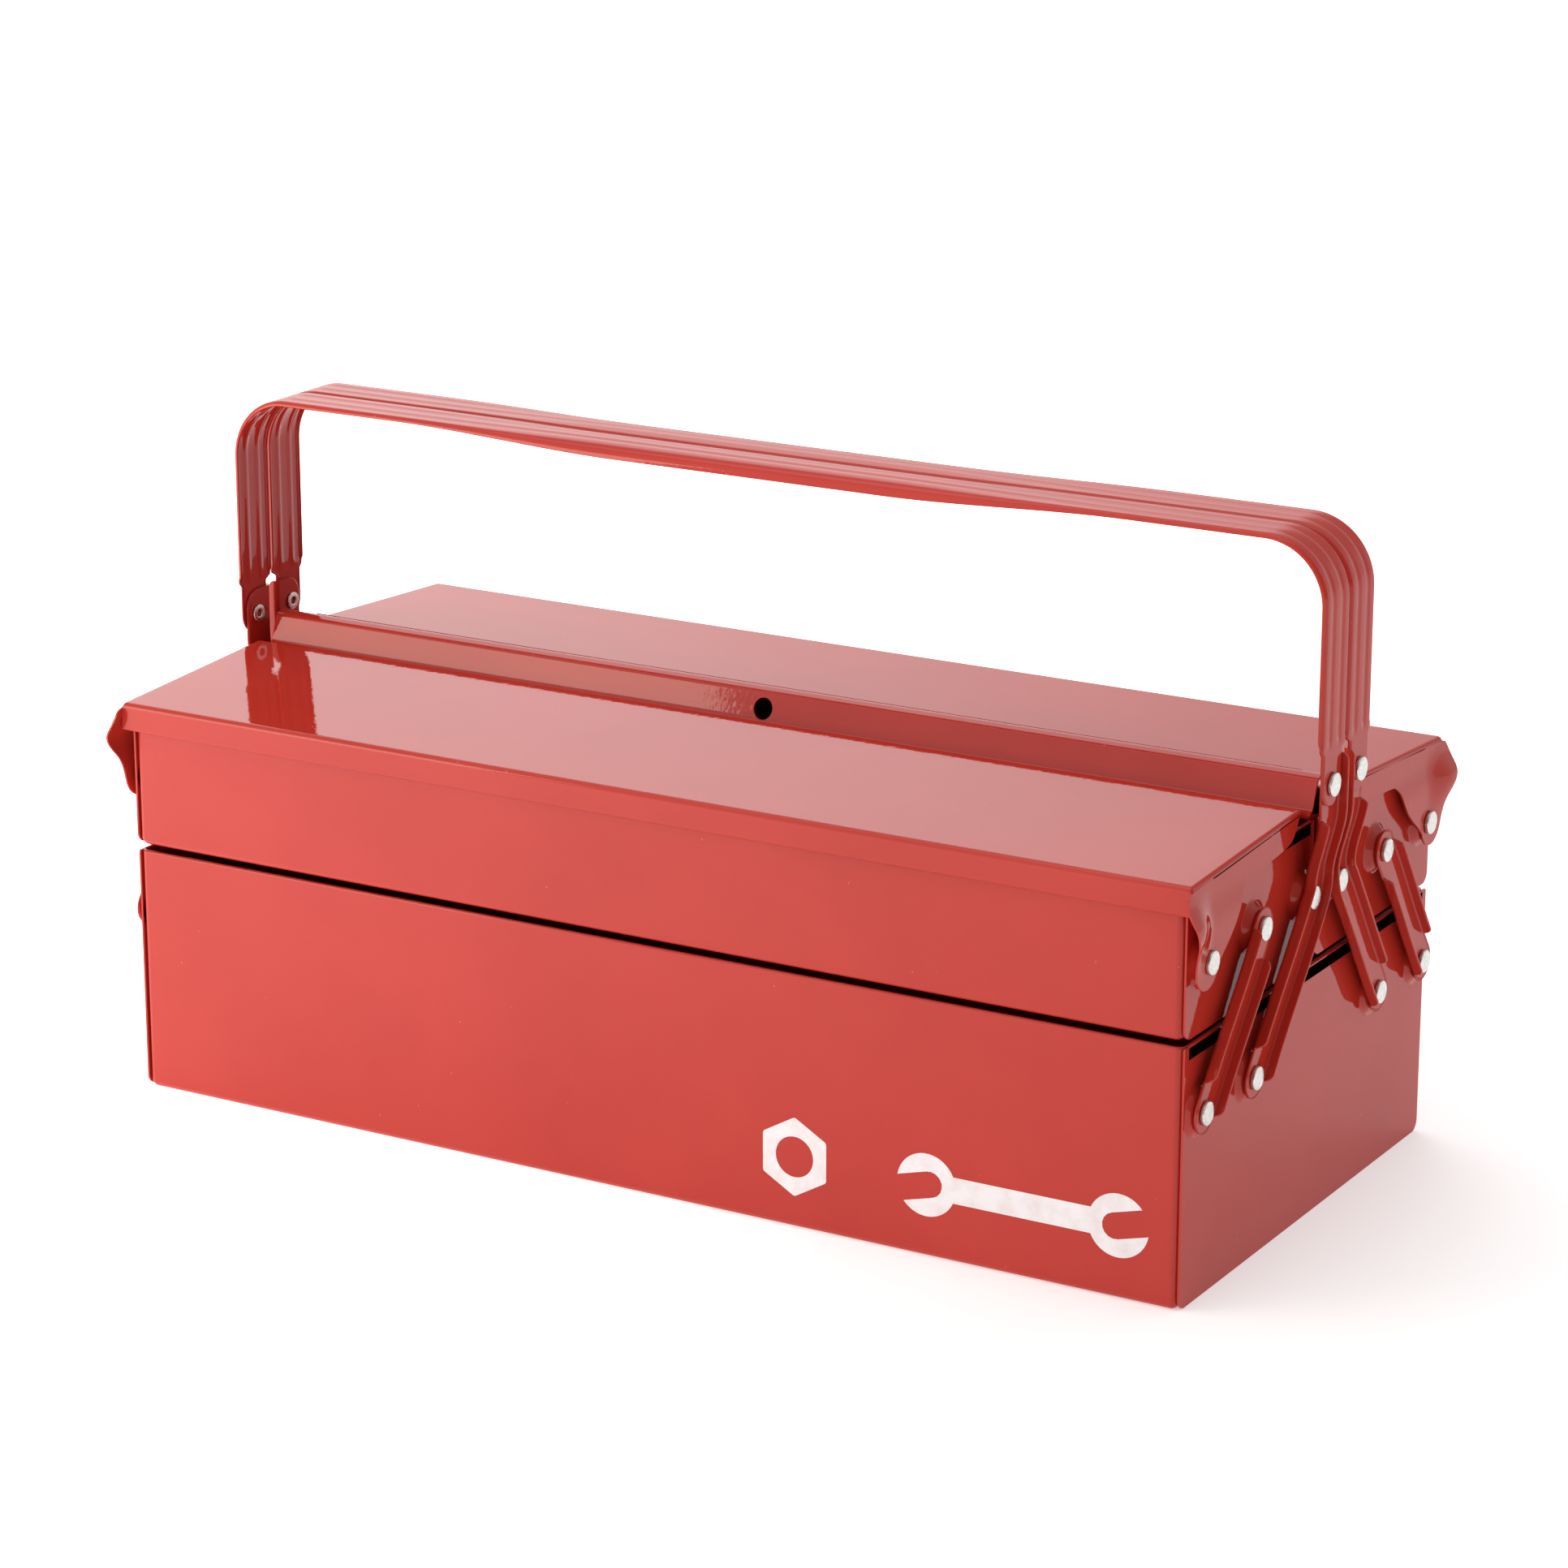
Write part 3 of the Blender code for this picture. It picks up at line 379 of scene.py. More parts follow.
def shell(name, y_low, y_high, z_low, z_high, body, node_name):
    x, r = END_X - SHEET - GAP, CORNER_R
    y_in, y_out, z_hem = y_low + HEM_T, y_high - HEM_T, z_high - HEM_DEPTH
    path = [(y_in, z_hem), (y_in, z_high), (y_low, z_high), (y_low, z_low),
            (y_high, z_low), (y_high, z_high), (y_out, z_high), (y_out, z_hem)]
    radii = [0, FOLD_R, FOLD_R, r, r, FOLD_R, FOLD_R, 0]
    curve = np.array(sheet(fillet(path, radii, 8), SHEET))
    middle = (y_low + y_high) / 2
    rings = []
    corner = [(x - r + r * math.sin(t), r * (1 - math.cos(t))) for t in np.linspace(0, math.pi / 2, 8)]
    places = [(x - r - 5.0, 0.0)] + corner
    for at, inset in [(-a, d) for a, d in places[::-1]] + places:
        half = (y_high - y_low) / 2
        y = middle + (curve[:, 0] - middle) * (half - inset) / half
        z = curve[:, 1] + inset * np.clip(1 - (curve[:, 1] - z_low) / 6.0, 0, 1)
        rings.append([(at, b, c) for b, c in zip(y, z)])
    parts = [loft(rings)]
    for side in (-1, 1):
        for y0, y1 in ((y_low + r, y_low + RETURN), (y_high - RETURN, y_high - r)):
            a, b = side * (x - SHEET), side * x
            box = [(u, v, w) for u in (a, b) for v in (y0, y1) for w in (z_low + 2, z_hem)]
            parts.append((box, BOX_FACES))
    return solid(name, *merged(*parts), RED, 40, body, [node_name])


shell("base_pan", -WALL_Y, WALL_Y, 0.0, BASE_TOP, "base", "base_shell")
for title, face in FACES:
    low, high = sorted((face * TRAY_LOW[1], face * TRAY_HIGH[1]))
    shell(f"{title}_tray_pan", low, high, TRAY_LOW[2], TRAY_HIGH[2], f"{title}_tray", f"{title}_tray_shell")
print("three shells")


# %% [markdown]
# ## End plates
# Each end plate is welded in behind the walls. Its rim is folded over and its pivots sit on pressed
# bosses, which hold the arms clear of the plate. Rings of points around each boss keep the cone round.

# %% End plates
PLATE_CORNER = 4.5
PLATE_IN = 0.4            # the plate's sides and top edge are inside the walls and the rim by this much
BOSS_RINGS = (5.0, 6.6, 7.3, 8.0, 8.7, 9.4, 10.1, 10.9)


def end_plate(name, side, y_low, y_high, z_low, z_high, bosses, body, node_name):
    top = z_high - PLATE_IN
    outline = fillet([(y_low, top), (y_low, z_low), (y_high, z_low), (y_high, top)],
                     [0.8, PLATE_CORNER, PLATE_CORNER, 0.8], 8, True)
    loops = [circle(at, r) for at, _ in bosses for r in BOSS_RINGS]
    safe = [ring for ring in loops if all(y_low + 0.2 < y < y_high - 0.2 for y, _ in ring)]
    extra = [p for ring in loops if ring not in safe for p in ring
             if y_low + 0.4 < p[0] < y_high - 0.4 and z_low + 0.4 < p[1] < z_high - 1]
    plate = pressed(outline, safe, extra, boss_height(bosses), side)
    rim = fillet([(END_X, z_high - 5.5), (END_X, z_high), (END_X - HEM_T, z_high),
                  (END_X - HEM_T, z_high - HEM_DEPTH)], [0, 0.9, 0.9, 0], 6)
    fold = [(side * x, z) for x, z in sheet(rim, 0.7)]
    inset = 3.3
    hem = loft([[(x, y, z) for x, z in fold] for y in (y_low + inset, y_high - inset)])
    return solid(name, *merged(plate, hem), RED, 38, body, [node_name])


TRAY_BOSSES = ((SHORT_TRAY, TRAY_BOSS), (LONG_TRAY, TRAY_BOSS), (LID_AT, LID_BOSS))
for side, word in SIDES:
    spots = [((face * p[0], p[1]), BASE_BOSS) for _, face in FACES for p in (SHORT_BASE, LONG_BASE)]
    end_plate(f"base_plate_{word}", side, PLATE_IN - WALL_Y, WALL_Y - PLATE_IN, 0.2, BASE_TOP, spots,
              "base", f"base_end_{word}")
    for title, face in FACES:
        low, high = sorted((face * TRAY_LOW[1], face * TRAY_HIGH[1]))
        spots = [((face * p[0], p[1]), h) for p, h in TRAY_BOSSES]
        end_plate(f"{title}_tray_plate_{word}", side, low + PLATE_IN, high - PLATE_IN, TRAY_LOW[2] + 0.2,
                  TRAY_HIGH[2], spots, f"{title}_tray", f"{title}_tray_end_{word}")
print("six end plates")


# %% [markdown]
# ## Lids
# A lid is a folded section: a curled lip, a nearly flat top, then on the front lid a groove and a
# ridge that closes over the middle. Both ends of the top roll down into end flanges, which step out
# into the hinge ears and flare at the outer corner, so fingers can lift them.

# %% Lid measures
# groove and ridge: y, z above the lid's top at the groove, and bend radius
RIDGE = [(13.3, -4.8, 1.4), (10.4, -2.6, 3.0), (8.6, 2.4, 8.0), (6.6, 8.2, 2.2), (2.0, 9.4, 4.0),
         (-4.1, 6.4, 0)]
# outline of the end flange: outer corner from the lid's edge, ear from the lid pivot, then the
# lower edge from the start of the groove
EAR_CORNER = [(2.8, -2.9), (4.9, -8.5), (5.0, -13.0), (2.6, -18.5), (-1.8, -24.5)]
EAR_EDGE = [(-19.1, 7.0), (-24.3, 13.5), (-27.3, 19.0), (-31.3, 21.8), (-36.3, 22.5)]
FLANGE_EDGE = [(24.5, -13.0), (8.0, -11.2), (4.1, -7.3), (2.1, -3.8)]
ROLL = 1.6                # radius of the roll from the top into a flange
EAR_R, EAR_STEP = 9, 1.3
FLARE, FLARE_DROP = 4.1, 15.5
UPRIGHT_Y, UPRIGHT_RISE, UPRIGHT_SHORT = 5.8, 7.2, 12.0
PADLOCK_R, PADLOCK_RISE = 4.25, 1.6
LIP_DEPTH = 11.4


def lid_top(y):
    return RIDGE_Z - LID_SLOPE * (y - GROOVE_Y) / (LID_Y - LID_OVER - GROOVE_Y)


def flange_x(y, z):
    """Outer face of a flange: it steps out to the ear and flares at the outer corner."""
    below = EDGE_Z - z
    bulge = np.exp(-((below - FLARE_DROP) / np.where(below > FLARE_DROP, 11.0, 8.0)) ** 2)
    return LID_X + EAR_STEP * smooth(below, 8, 18) + FLARE * bulge * smooth(y, LID_Y - 16.5, LID_Y + 1)


# %% Lid section and flanges
def inside(ring, q, margin=1.1):
    """Whether a point is inside a closed outline and not too near its corners."""
    a, b = ring, np.roll(ring, -1, axis=0)
    crosses = (a[:, 1] > q[1]) != (b[:, 1] > q[1])
    with np.errstate(divide="ignore", invalid="ignore"):
        at = a[:, 0] + (q[1] - a[:, 1]) / (b[:, 1] - a[:, 1]) * (b[:, 0] - a[:, 0])
    clear = np.hypot(*(ring - q).T).min() > margin
    return bool((crosses & (q[0] < at)).sum() % 2) and clear


def lid_flange(side, face):
    """End flange with its hinge ear: the corners of the lower outline are cut twice to soften them."""
    turn = np.radians(range(-10, -171, -20))
    ear = [(LID_AT[0] + 2.5 + EAR_R * math.cos(a), LID_AT[1] - 1 + EAR_R * math.sin(a)) for a in turn]
    top = [(y, float(lid_top(y)) - ROLL) for y in (GROOVE_Y + 1.1, 45, 70, 95, LID_Y - 1)]
    low = [(LID_Y + y, EDGE_Z + z) for y, z in EAR_CORNER] + ear
    low += [(LID_AT[0] + y, LID_AT[1] + z) for y, z in EAR_EDGE]
    low += [(GROOVE_Y + y, RIDGE_Z + z) for y, z in FLANGE_EDGE]
    p = np.array(top[-1:] + low + top[:1])
    for _ in range(2):
        cuts = [[a * 0.78 + b * 0.22, a * 0.22 + b * 0.78] for a, b in zip(p, p[1:])]
        p = np.concatenate([[p[0]], *cuts, [p[-1]]])
    outline = top + [tuple(v) for v in p[1:-1]]
    ring = np.array(outline)
    grid = [(y, z) for y in np.arange(62, LID_Y + 5, 2.2)
            for z in np.arange(LID_AT[1] - EAR_R, EDGE_Z - 1.8, 2.2)]
    return pressed(outline, [], [q for q in grid if inside(ring, q)], flange_x, side, SHEET, face)


def lid_section(path, radii):
    low = EDGE_Z - LIP_DEPTH
    lip = [(LID_Y - 2.0, low + 1.6), (LID_Y - 1.9, low + 0.1), (LID_Y - 0.1, low), (LID_Y, EDGE_Z)]
    return sheet(fillet(lip + path, [0, 0.7, 0.9, 2.2] + radii, 8), SHEET)


# %% Make a lid
def lid(face, path, radii, short=0.0):
    """Loft the section along X; the flat top rolls down at both ends to meet the flanges."""
    section = np.array(lid_section(path, radii))
    y, z = section[:, 0], section[:, 1]
    flat = smooth(y, GROOVE_Y - 1.5, GROOVE_Y + 1.5) * (z > EDGE_Z - 3.2)
    upright = (y < LID_Y - 90) & (z > RIDGE_Z + 1.2)
    angles = np.linspace(0, math.pi / 2, 6)
    places = [(LID_X - ROLL - 6, 0.0)]
    places += [(LID_X - ROLL + ROLL * math.sin(t), ROLL * (1 - math.cos(t))) for t in angles]
    rings = []
    for at, drop in [(-a, d) for a, d in places[::-1]] + places:
        reach = np.where(upright & (short > 0), np.clip(at, short - LID_X, LID_X - short), at)
        rings.append([(x, face * b, c - drop * f) for x, b, c, f in zip(reach, y, z, flat)])
    return loft(rings)


front_path = [(GROOVE_Y, RIDGE_Z)] + [(a, RIDGE_Z + b) for a, b, _ in RIDGE]
front = lid(-1, front_path, [1.5] + [r for _, _, r in RIDGE])
rear_path = [(UPRIGHT_Y, float(lid_top(UPRIGHT_Y))), (UPRIGHT_Y, RIDGE_Z + UPRIGHT_RISE)]
rear = lid(1, rear_path, [1.6, 0], UPRIGHT_SHORT)


# %% [markdown]
# The padlock hole is punched through both uprights. A lofted section cannot carry a hole at one
# place, so a Boolean with a plain cylinder cuts it. The two flanges join after the punching, as
# separate closed parts of the same mesh.

# %% Punch the padlock hole
def punch(made, y_low, y_high):
    ring = circle((0, RIDGE_Z + PADLOCK_RISE), PADLOCK_R, 48)
    tool = solid("punch", *loft([[(a, y, b) for a, b in ring] for y in (y_low, y_high)]), RED)
    cut = made.modifiers.new("padlock hole", "BOOLEAN")
    cut.operation, cut.solver, cut.object, cut.use_self = "DIFFERENCE", "EXACT", tool, False
    freeze(made)
    bpy.data.objects.remove(tool)
    return made


def grown(made, verts, faces):
    """Add more closed parts to a piece's mesh."""
    bm = bmesh.new()
    bm.from_mesh(made.data)
    new = [bm.verts.new([c * MM for c in v]) for v in verts]
    for f in faces:
        bm.faces.new([new[k] for k in f])
    bmesh.ops.recalc_face_normals(bm, faces=bm.faces)
    bm.to_mesh(made.data)
    bm.free()
    return made


for title, face, parts, reach in (("front", -1, front, (-12.7, 0)), ("rear", 1, rear, (4.0, 6.1))):
    made = solid(f"{title}_lid_panel", *parts, RED)
    punch(made, *reach)
    grown(made, *merged(lid_flange(-1, face), lid_flange(1, face)))
    dress(made, RED, 35, f"{title}_lid", [f"{title}_lid"])
    print(title, "lid:", len(made.data.polygons), "faces")


# %% [markdown]
# ## Channel arms
# The arms are strips with both edges turned up for stiffness. One section rule, with a height for
# each edge, is lofted along the arm; the edges fade out near the pivots, where the arm must lie flat
# under its rivet. The long arm has a dog-leg and steps outward to carry the handle.

# %% Section and edge rules
def channel(out, inn, h_out, h_inn, t, radius, bead=0.0, steps=6):
    """Section of a strip with turned edges, as (across, inward) pairs, with two beads if asked.

    The strip reaches from -out to inn, and its edges are h_out and h_inn high."""
    flat = t + 0.12
    h_out, h_inn = max(h_out, flat), max(h_inn, flat)

    def corner(edge, sign, height, r_less):
        r = max(min(radius, height - 0.06), t + 0.06)
        return [(sign * (edge - r + (r - r_less) * math.cos(a)), r - (r - r_less) * math.sin(a))
                for a in np.linspace(0, math.pi / 2, steps + 1)]

    webs, dips = [], []
    if bead:
        webs = list(np.linspace(-0.92, 0.92, 25))
        dips = [bead * math.exp(-((abs(w) - 0.46) / 0.15) ** 2) for w in webs]
    middle = (inn - out) / 2
    half = (inn + out) / 2 - max(min(radius, max(h_out, h_inn) - 0.06), t + 0.06)
    web = [(middle + half * w, d) for w, d in zip(webs, dips)]
    e = 0.3 * t
    back = [(-out, h_out - e)] + corner(out, -1, h_out, 0) + web
    back += corner(inn, 1, h_inn, 0)[::-1] + [(inn, h_inn - e)]
    tip_in = [(inn - e, h_inn), (inn - t + e, h_inn), (inn - t, h_inn - e)]
    front = corner(inn, 1, h_inn, t) + [(n, d + t) for n, d in web[::-1]]
    front += corner(out, -1, h_out, t)[::-1]
    tip_out = [(-out + t, h_out - e), (-out + t - e, h_out), (-out + e, h_out)]
    return back + tip_in + front + tip_out


def round_end(s, end, radius):
    """Half the width of a strip at s, where its end is a half circle."""
    left = min(abs(end - s), radius)
    return max(math.sqrt(max(radius ** 2 - (radius - left) ** 2, 0)), 0.12 * radius)


def turned(s, start, high, over=3.0):
    """Height of a turned edge that rises from nothing at start."""
    u = min(max((s - start) / over, 0.0), 1.0)
    return high * math.sqrt(max(1 - (1 - u) ** 2, 0.0))


HALF, TURN, ARM_BEND_R = 8.0, 5.0, 2.0
EDGE_STEPS = (0, 0.15, 0.4, 0.9, 1.8, 3)


def stations(length, marks):
    """Places along an arm: close together at its round ends and where an edge starts."""
    ends = [HALF * (1 - math.cos(a)) for a in np.linspace(0.12, math.pi / 2, 12)]
    spread = list(np.arange(HALF, length - HALF, 2.5))
    places = ends + [length - e for e in ends] + spread + list(marks)
    return sorted({round(s, 3) for s in places if 0 <= s <= length})


# %% Short arms
def short_arm(side, face):
    along = (SHORT_TRAY - SHORT_BASE) / np.linalg.norm(SHORT_TRAY - SHORT_BASE)
    across = np.array([-along[1], along[0]])
    length = np.linalg.norm(SHORT_TRAY - SHORT_BASE) + 2 * HALF
    low_out, low_inn, top_out, top_inn = HALF + 9, HALF + 1, length - HALF - 3, length - HALF - 9
    marks = [f + k for f in (low_out, low_inn) for k in EDGE_STEPS]
    marks += [f - k for f in (top_out, top_inn) for k in EDGE_STEPS]
    rings = []
    for s in stations(length, marks):
        half = min(round_end(s, 0, HALF), round_end(s, length, HALF))
        high = TURN * min(half / HALF, 1)
        outer = min(turned(s, low_out, high), turned(-s, -top_out, high))
        inner = min(turned(s, low_inn, high), turned(-s, -top_inn, high))
        web = BASE_WEB + (TRAY_WEB - BASE_WEB) * float(smooth(s, HALF * 2, length - HALF * 2))
        at = SHORT_BASE + along * (s - HALF)
        rings.append([(side * (web + d), face * (at[0] + across[0] * n), at[1] + across[1] * n)
                      for n, d in channel(half, half, outer, inner, ARM_SHEET, ARM_BEND_R)])
    return loft(rings)


# %% Long arms
DOG_LEG_Y, DOG_LEG_R, ARM_TOP = 10.2, 14, 10.2


def long_arm(side, face):
    along = (LONG_TRAY - LONG_BASE) / np.linalg.norm(LONG_TRAY - LONG_BASE)
    bend_at = LONG_BASE + along * ((LONG_BASE[0] - DOG_LEG_Y) / -along[0])
    corners = [LONG_BASE - along * HALF, bend_at, (DOG_LEG_Y, HANDLE_AT[1] + ARM_TOP)]
    line = np.array(fillet(corners, [0, DOG_LEG_R, 0], 10))
    marks = np.concatenate([[0], np.cumsum(np.linalg.norm(np.diff(line, axis=0), axis=1))])
    length, at_tray = marks[-1], HALF + np.linalg.norm(LONG_TRAY - LONG_BASE)
    low_out, low_inn, outer_top = HALF + 9, HALF + 1, length - 23.2
    joggle = at_tray + 6.5, length - 21.0
    extra = [f + k for f in (low_out, low_inn) for k in EDGE_STEPS]
    extra += [outer_top - k for k in EDGE_STEPS] + list(marks[1:-1])
    extra += list(np.linspace(*joggle, 12))
    rings = []
    for s in stations(length, extra):
        at, ahead, behind = (np.array([np.interp(s + k, marks, line[:, i]) for i in (0, 1)])
                             for k in (0, 0.8, -0.8))
        tangent = (ahead - behind) / np.linalg.norm(ahead - behind)
        across = np.array([-tangent[1], tangent[0]])
        foot = round_end(s, 0, HALF)
        head = min(foot, round_end(s, length, HALF))
        high = TURN * min(foot / HALF, 1)
        outer = min(turned(s, low_out, high), turned(-s, -outer_top, high))
        inner = min(turned(s, low_inn, high), turned(length - s, -0.5, high, 4.0))
        web = BASE_WEB + (TRAY_WEB - BASE_WEB) * float(smooth(s, HALF * 2, at_tray - 6.5))
        web += (ARM_TOP_X - TRAY_WEB) * float(smooth(s, *joggle))
        rings.append([(side * (web + d), face * (at[0] + across[0] * n), at[1] + across[1] * n)
                      for n, d in channel(head, foot, outer, inner, ARM_SHEET, ARM_BEND_R)])
    return loft(rings)


for title, face in FACES:
    for side, word in SIDES:
        solid(f"{title}_short_strip_{word}", *short_arm(side, face), RED, 45, f"{title}_short_arms",
              [f"{title}_short_arm_{word}"])
        solid(f"{title}_long_strip_{word}", *long_arm(side, face), RED, 45, f"{title}_long_arms",
              [f"{title}_long_arm_{word}"])
print("eight arms")


# %% [markdown]
# ## Strap handles
# Each handle is one long strip with two pressed beads and turned edges, bent to a wide U. At the
# middle of the grip the strip is arched, leans outwards and has a deeper outer edge, so that the two
# strips together fill the hand. The section changes smoothly along the path, so a loft fits again.

# %% Handles
ARCH, LEAN = 1.9, 0.5     # how far the grip's edges bend inward, and how far it leans
TONGUE, STRAP_HALF, NECK = 8.3, 10.7, 13.5
RIM, RIM_BEND_R, BEAD = 2.2, 1.9, 0.45
STRAP_CORNER = 26
GRIP_FULL, GRIP_END = 60, 165
NECK_STEPS = (-2.5, -1.5, -1.1, -0.7, -0.3, 0.1, 0.5, 0.9, 1.4, 2.0, 2.8, 3.6, 4.5, 6)


def handle(face):
    out_x, bend_z = STRAP_X + STRAP, HANDLE_TOP - STRAP_CORNER - 1
    low, neck = HANDLE_AT[1] - TONGUE, HANDLE_AT[1] + NECK
    bend = fillet([(out_x, low), (out_x, HANDLE_TOP), (0, HANDLE_TOP)], [0, STRAP_CORNER, 0], 24)
    leg = [(out_x, low + TONGUE * (1 - math.cos(a))) for a in np.linspace(0.12, math.pi / 2, 12)]
    leg += [(out_x, neck + k) for k in NECK_STEPS]
    leg += [(out_x, z) for z in np.arange(neck + 9, bend_z, 4)] + bend[1:-1]
    half_path = leg + [(x, HANDLE_TOP) for x in np.linspace(bend[-2][0] - 4, 0, 50)]
    path = half_path + [(-x, z) for x, z in half_path[-2::-1]]
    rings = []
    for i, (x, z) in enumerate(path):
        a, b = np.array(path[max(i - 1, 0)]), np.array(path[min(i + 1, len(path) - 1)])
        tangent = (b - a) / np.linalg.norm(b - a)
        inward = np.array([tangent[1], -tangent[0]])
        inward = -inward if inward @ (np.array([0, HANDLE_AT[1]]) - (x, z)) < 0 else inward
        on_leg = z < bend_z
        wide = float(smooth(z, neck - 1.5, neck + 1.0)) if on_leg else 1.0
        grip = float(smooth(-abs(x), -GRIP_END, -GRIP_FULL)) if z > HANDLE_TOP - 1 else 0.0
        half = min(round_end(z, low, TONGUE), TONGUE) + (STRAP_HALF - TONGUE) * wide
        middle = HANDLE_AT[0] - 0.8 * wide
        rise = float(smooth(z, neck - 0.5, neck + 4.5)) if on_leg else 1.0
        section = channel(half, half, (RIM + 1.8 * grip) * rise, (RIM - 0.8 * grip) * rise, STRAP,
                          RIM_BEND_R + 1.6 * grip, (BEAD - 0.2 * grip) * rise + 1e-3)
        section = [(n, d + grip * (ARCH * (n / half) ** 2 + LEAN * (half - n) / half)) for n, d in section]
        rings.append([(x + inward[0] * d, face * (middle - n), z + inward[1] * d + grip)
                      for n, d in section])
    return loft(rings)


for title, face in FACES:
    made = solid(f"{title}_strap_handle", *handle(face), RED, 50, f"{title}_handle",
                 [f"{title}_handle"])
    print(title, "handle:", len(made.data.polygons), "faces")


# %% [markdown]
# ## Rivets
# The same rivet repeats 28 times, so Geometry Nodes place it. The tree sweeps a half section around
# a tiny circle to turn the rivet, then puts a copy on each point with the turn that the point
# carries. The points of one body make one mesh, which then rides on that body.

# %% The rivet tree
AXIS_R, MERGE = 1e-7, 4e-6


def rivet_tree():
    tree = bpy.data.node_groups.new("turned rivets", "GeometryNodeTree")
    for title, kind in (("Geometry", "NodeSocketGeometry"), ("Half section", "NodeSocketObject"),
                        ("Sides", "NodeSocketInt"), ("Metal", "NodeSocketMaterial")):
        tree.interface.new_socket(title, in_out="INPUT", socket_type=kind)
    tree.interface.new_socket("Geometry", in_out="OUTPUT", socket_type="NodeSocketGeometry")
    into, out = tree.nodes.new("NodeGroupInput"), tree.nodes.new("NodeGroupOutput")
    outline = node(tree, "GeometryNodeObjectInfo", [("Object", into.outputs["Half section"])])
    curve = node(tree, "GeometryNodeMeshToCurve", [("Mesh", outline.outputs["Geometry"])])
    ring = node(tree, "GeometryNodeCurvePrimitiveCircle", [("Resolution", into.outputs["Sides"])])
    ring.inputs["Radius"].default_value = AXIS_R
    swept = node(tree, "GeometryNodeCurveToMesh", [("Curve", ring.outputs["Curve"]),
                                                  ("Profile Curve", curve.outputs["Curve"])])
    closed = node(tree, "GeometryNodeMergeByDistance", [("Geometry", swept.outputs["Mesh"])])
    closed.inputs["Distance"].default_value = MERGE
    turn = node(tree, "GeometryNodeInputNamedAttribute", data_type="FLOAT_VECTOR")
    turn.inputs["Name"].default_value = "turn"
    spots = node(tree, "GeometryNodeMeshToPoints", [("Mesh", into.outputs["Geometry"])])
    placed = node(tree, "GeometryNodeInstanceOnPoints", [("Points", spots.outputs["Points"]),
                                                         ("Instance", closed.outputs["Geometry"]),
                                                         ("Rotation", turn.outputs["Attribute"])])
    real = node(tree, "GeometryNodeRealizeInstances", [("Geometry", placed.outputs["Instances"])])
    metal = node(tree, "GeometryNodeSetMaterial", [("Geometry", real.outputs["Geometry"]),
                                                   ("Material", into.outputs["Metal"])])
    tree.links.new(metal.outputs["Geometry"], out.inputs["Geometry"])
    return tree


RIVETS = rivet_tree()
print("rivet tree:", [s.name for s in RIVETS.interface.items_tree])


# %% [markdown]
# A rivet's half section runs from the hollow inner end, around its rolled lip, along the shank and
# over the head. The head is a low button with a rounded shoulder and a slight dome.

# %% Half section and placing
def half_section(grip):
    """Radius and height pairs in millimetres, with height 0 under the head."""
    lip = fillet([(1.6, 3.2 - grip), (1.6, -grip - 0.95), (3.7, -grip - 0.8), (3.5, -grip), (2.5, -grip)],
                 [0, 0.45, 0.35, 0.1, 0], 5)
    head = fillet([(2.5, 0), (4.6, 0), (4.6, 1.35), (3.4, 1.6), (0, 1.7)], [0, 0.15, 0.5, 1.2, 0], 6)
    return [(0, 3.2 - grip)] + lip + head


def rivets(name, body, grip, spots, swaps):
    """Rivets of one length: spots are (side, x under the head, y, z)."""
    outline = bpy.data.meshes.new("half section")
    pairs = half_section(grip)
    steps = [(k, k + 1) for k in range(len(pairs) - 1)]
    outline.from_pydata([(r * MM, h * MM, 0) for r, h in pairs], steps, [])
    shape = bpy.data.objects.new("half section", outline)
    bpy.context.collection.objects.link(shape)
    cloud = bpy.data.meshes.new(name)
    cloud.from_pydata([(side * x * MM, y * MM, z * MM) for side, x, y, z in spots], [], [])
    turn = cloud.attributes.new("turn", "FLOAT_VECTOR", "POINT")
    for k, (side, *_) in enumerate(spots):
        turn.data[k].vector = (0, -side * math.pi / 2, 0)
    made = bpy.data.objects.new(name, cloud)
    bpy.context.collection.objects.link(made)
    grow = made.modifiers.new("rivets", "NODES")
    grow.node_group = RIVETS
    keys = {s.name: s.identifier for s in RIVETS.interface.items_tree if s.in_out == "INPUT"}
    grow[keys["Half section"]], grow[keys["Sides"]], grow[keys["Metal"]] = shape, 40, NICKEL
    freeze(made)
    bpy.data.objects.remove(shape)
    if "turn" in made.data.attributes:
        made.data.attributes.remove(made.data.attributes["turn"])
    return dress(made, NICKEL, 50, body, swaps)


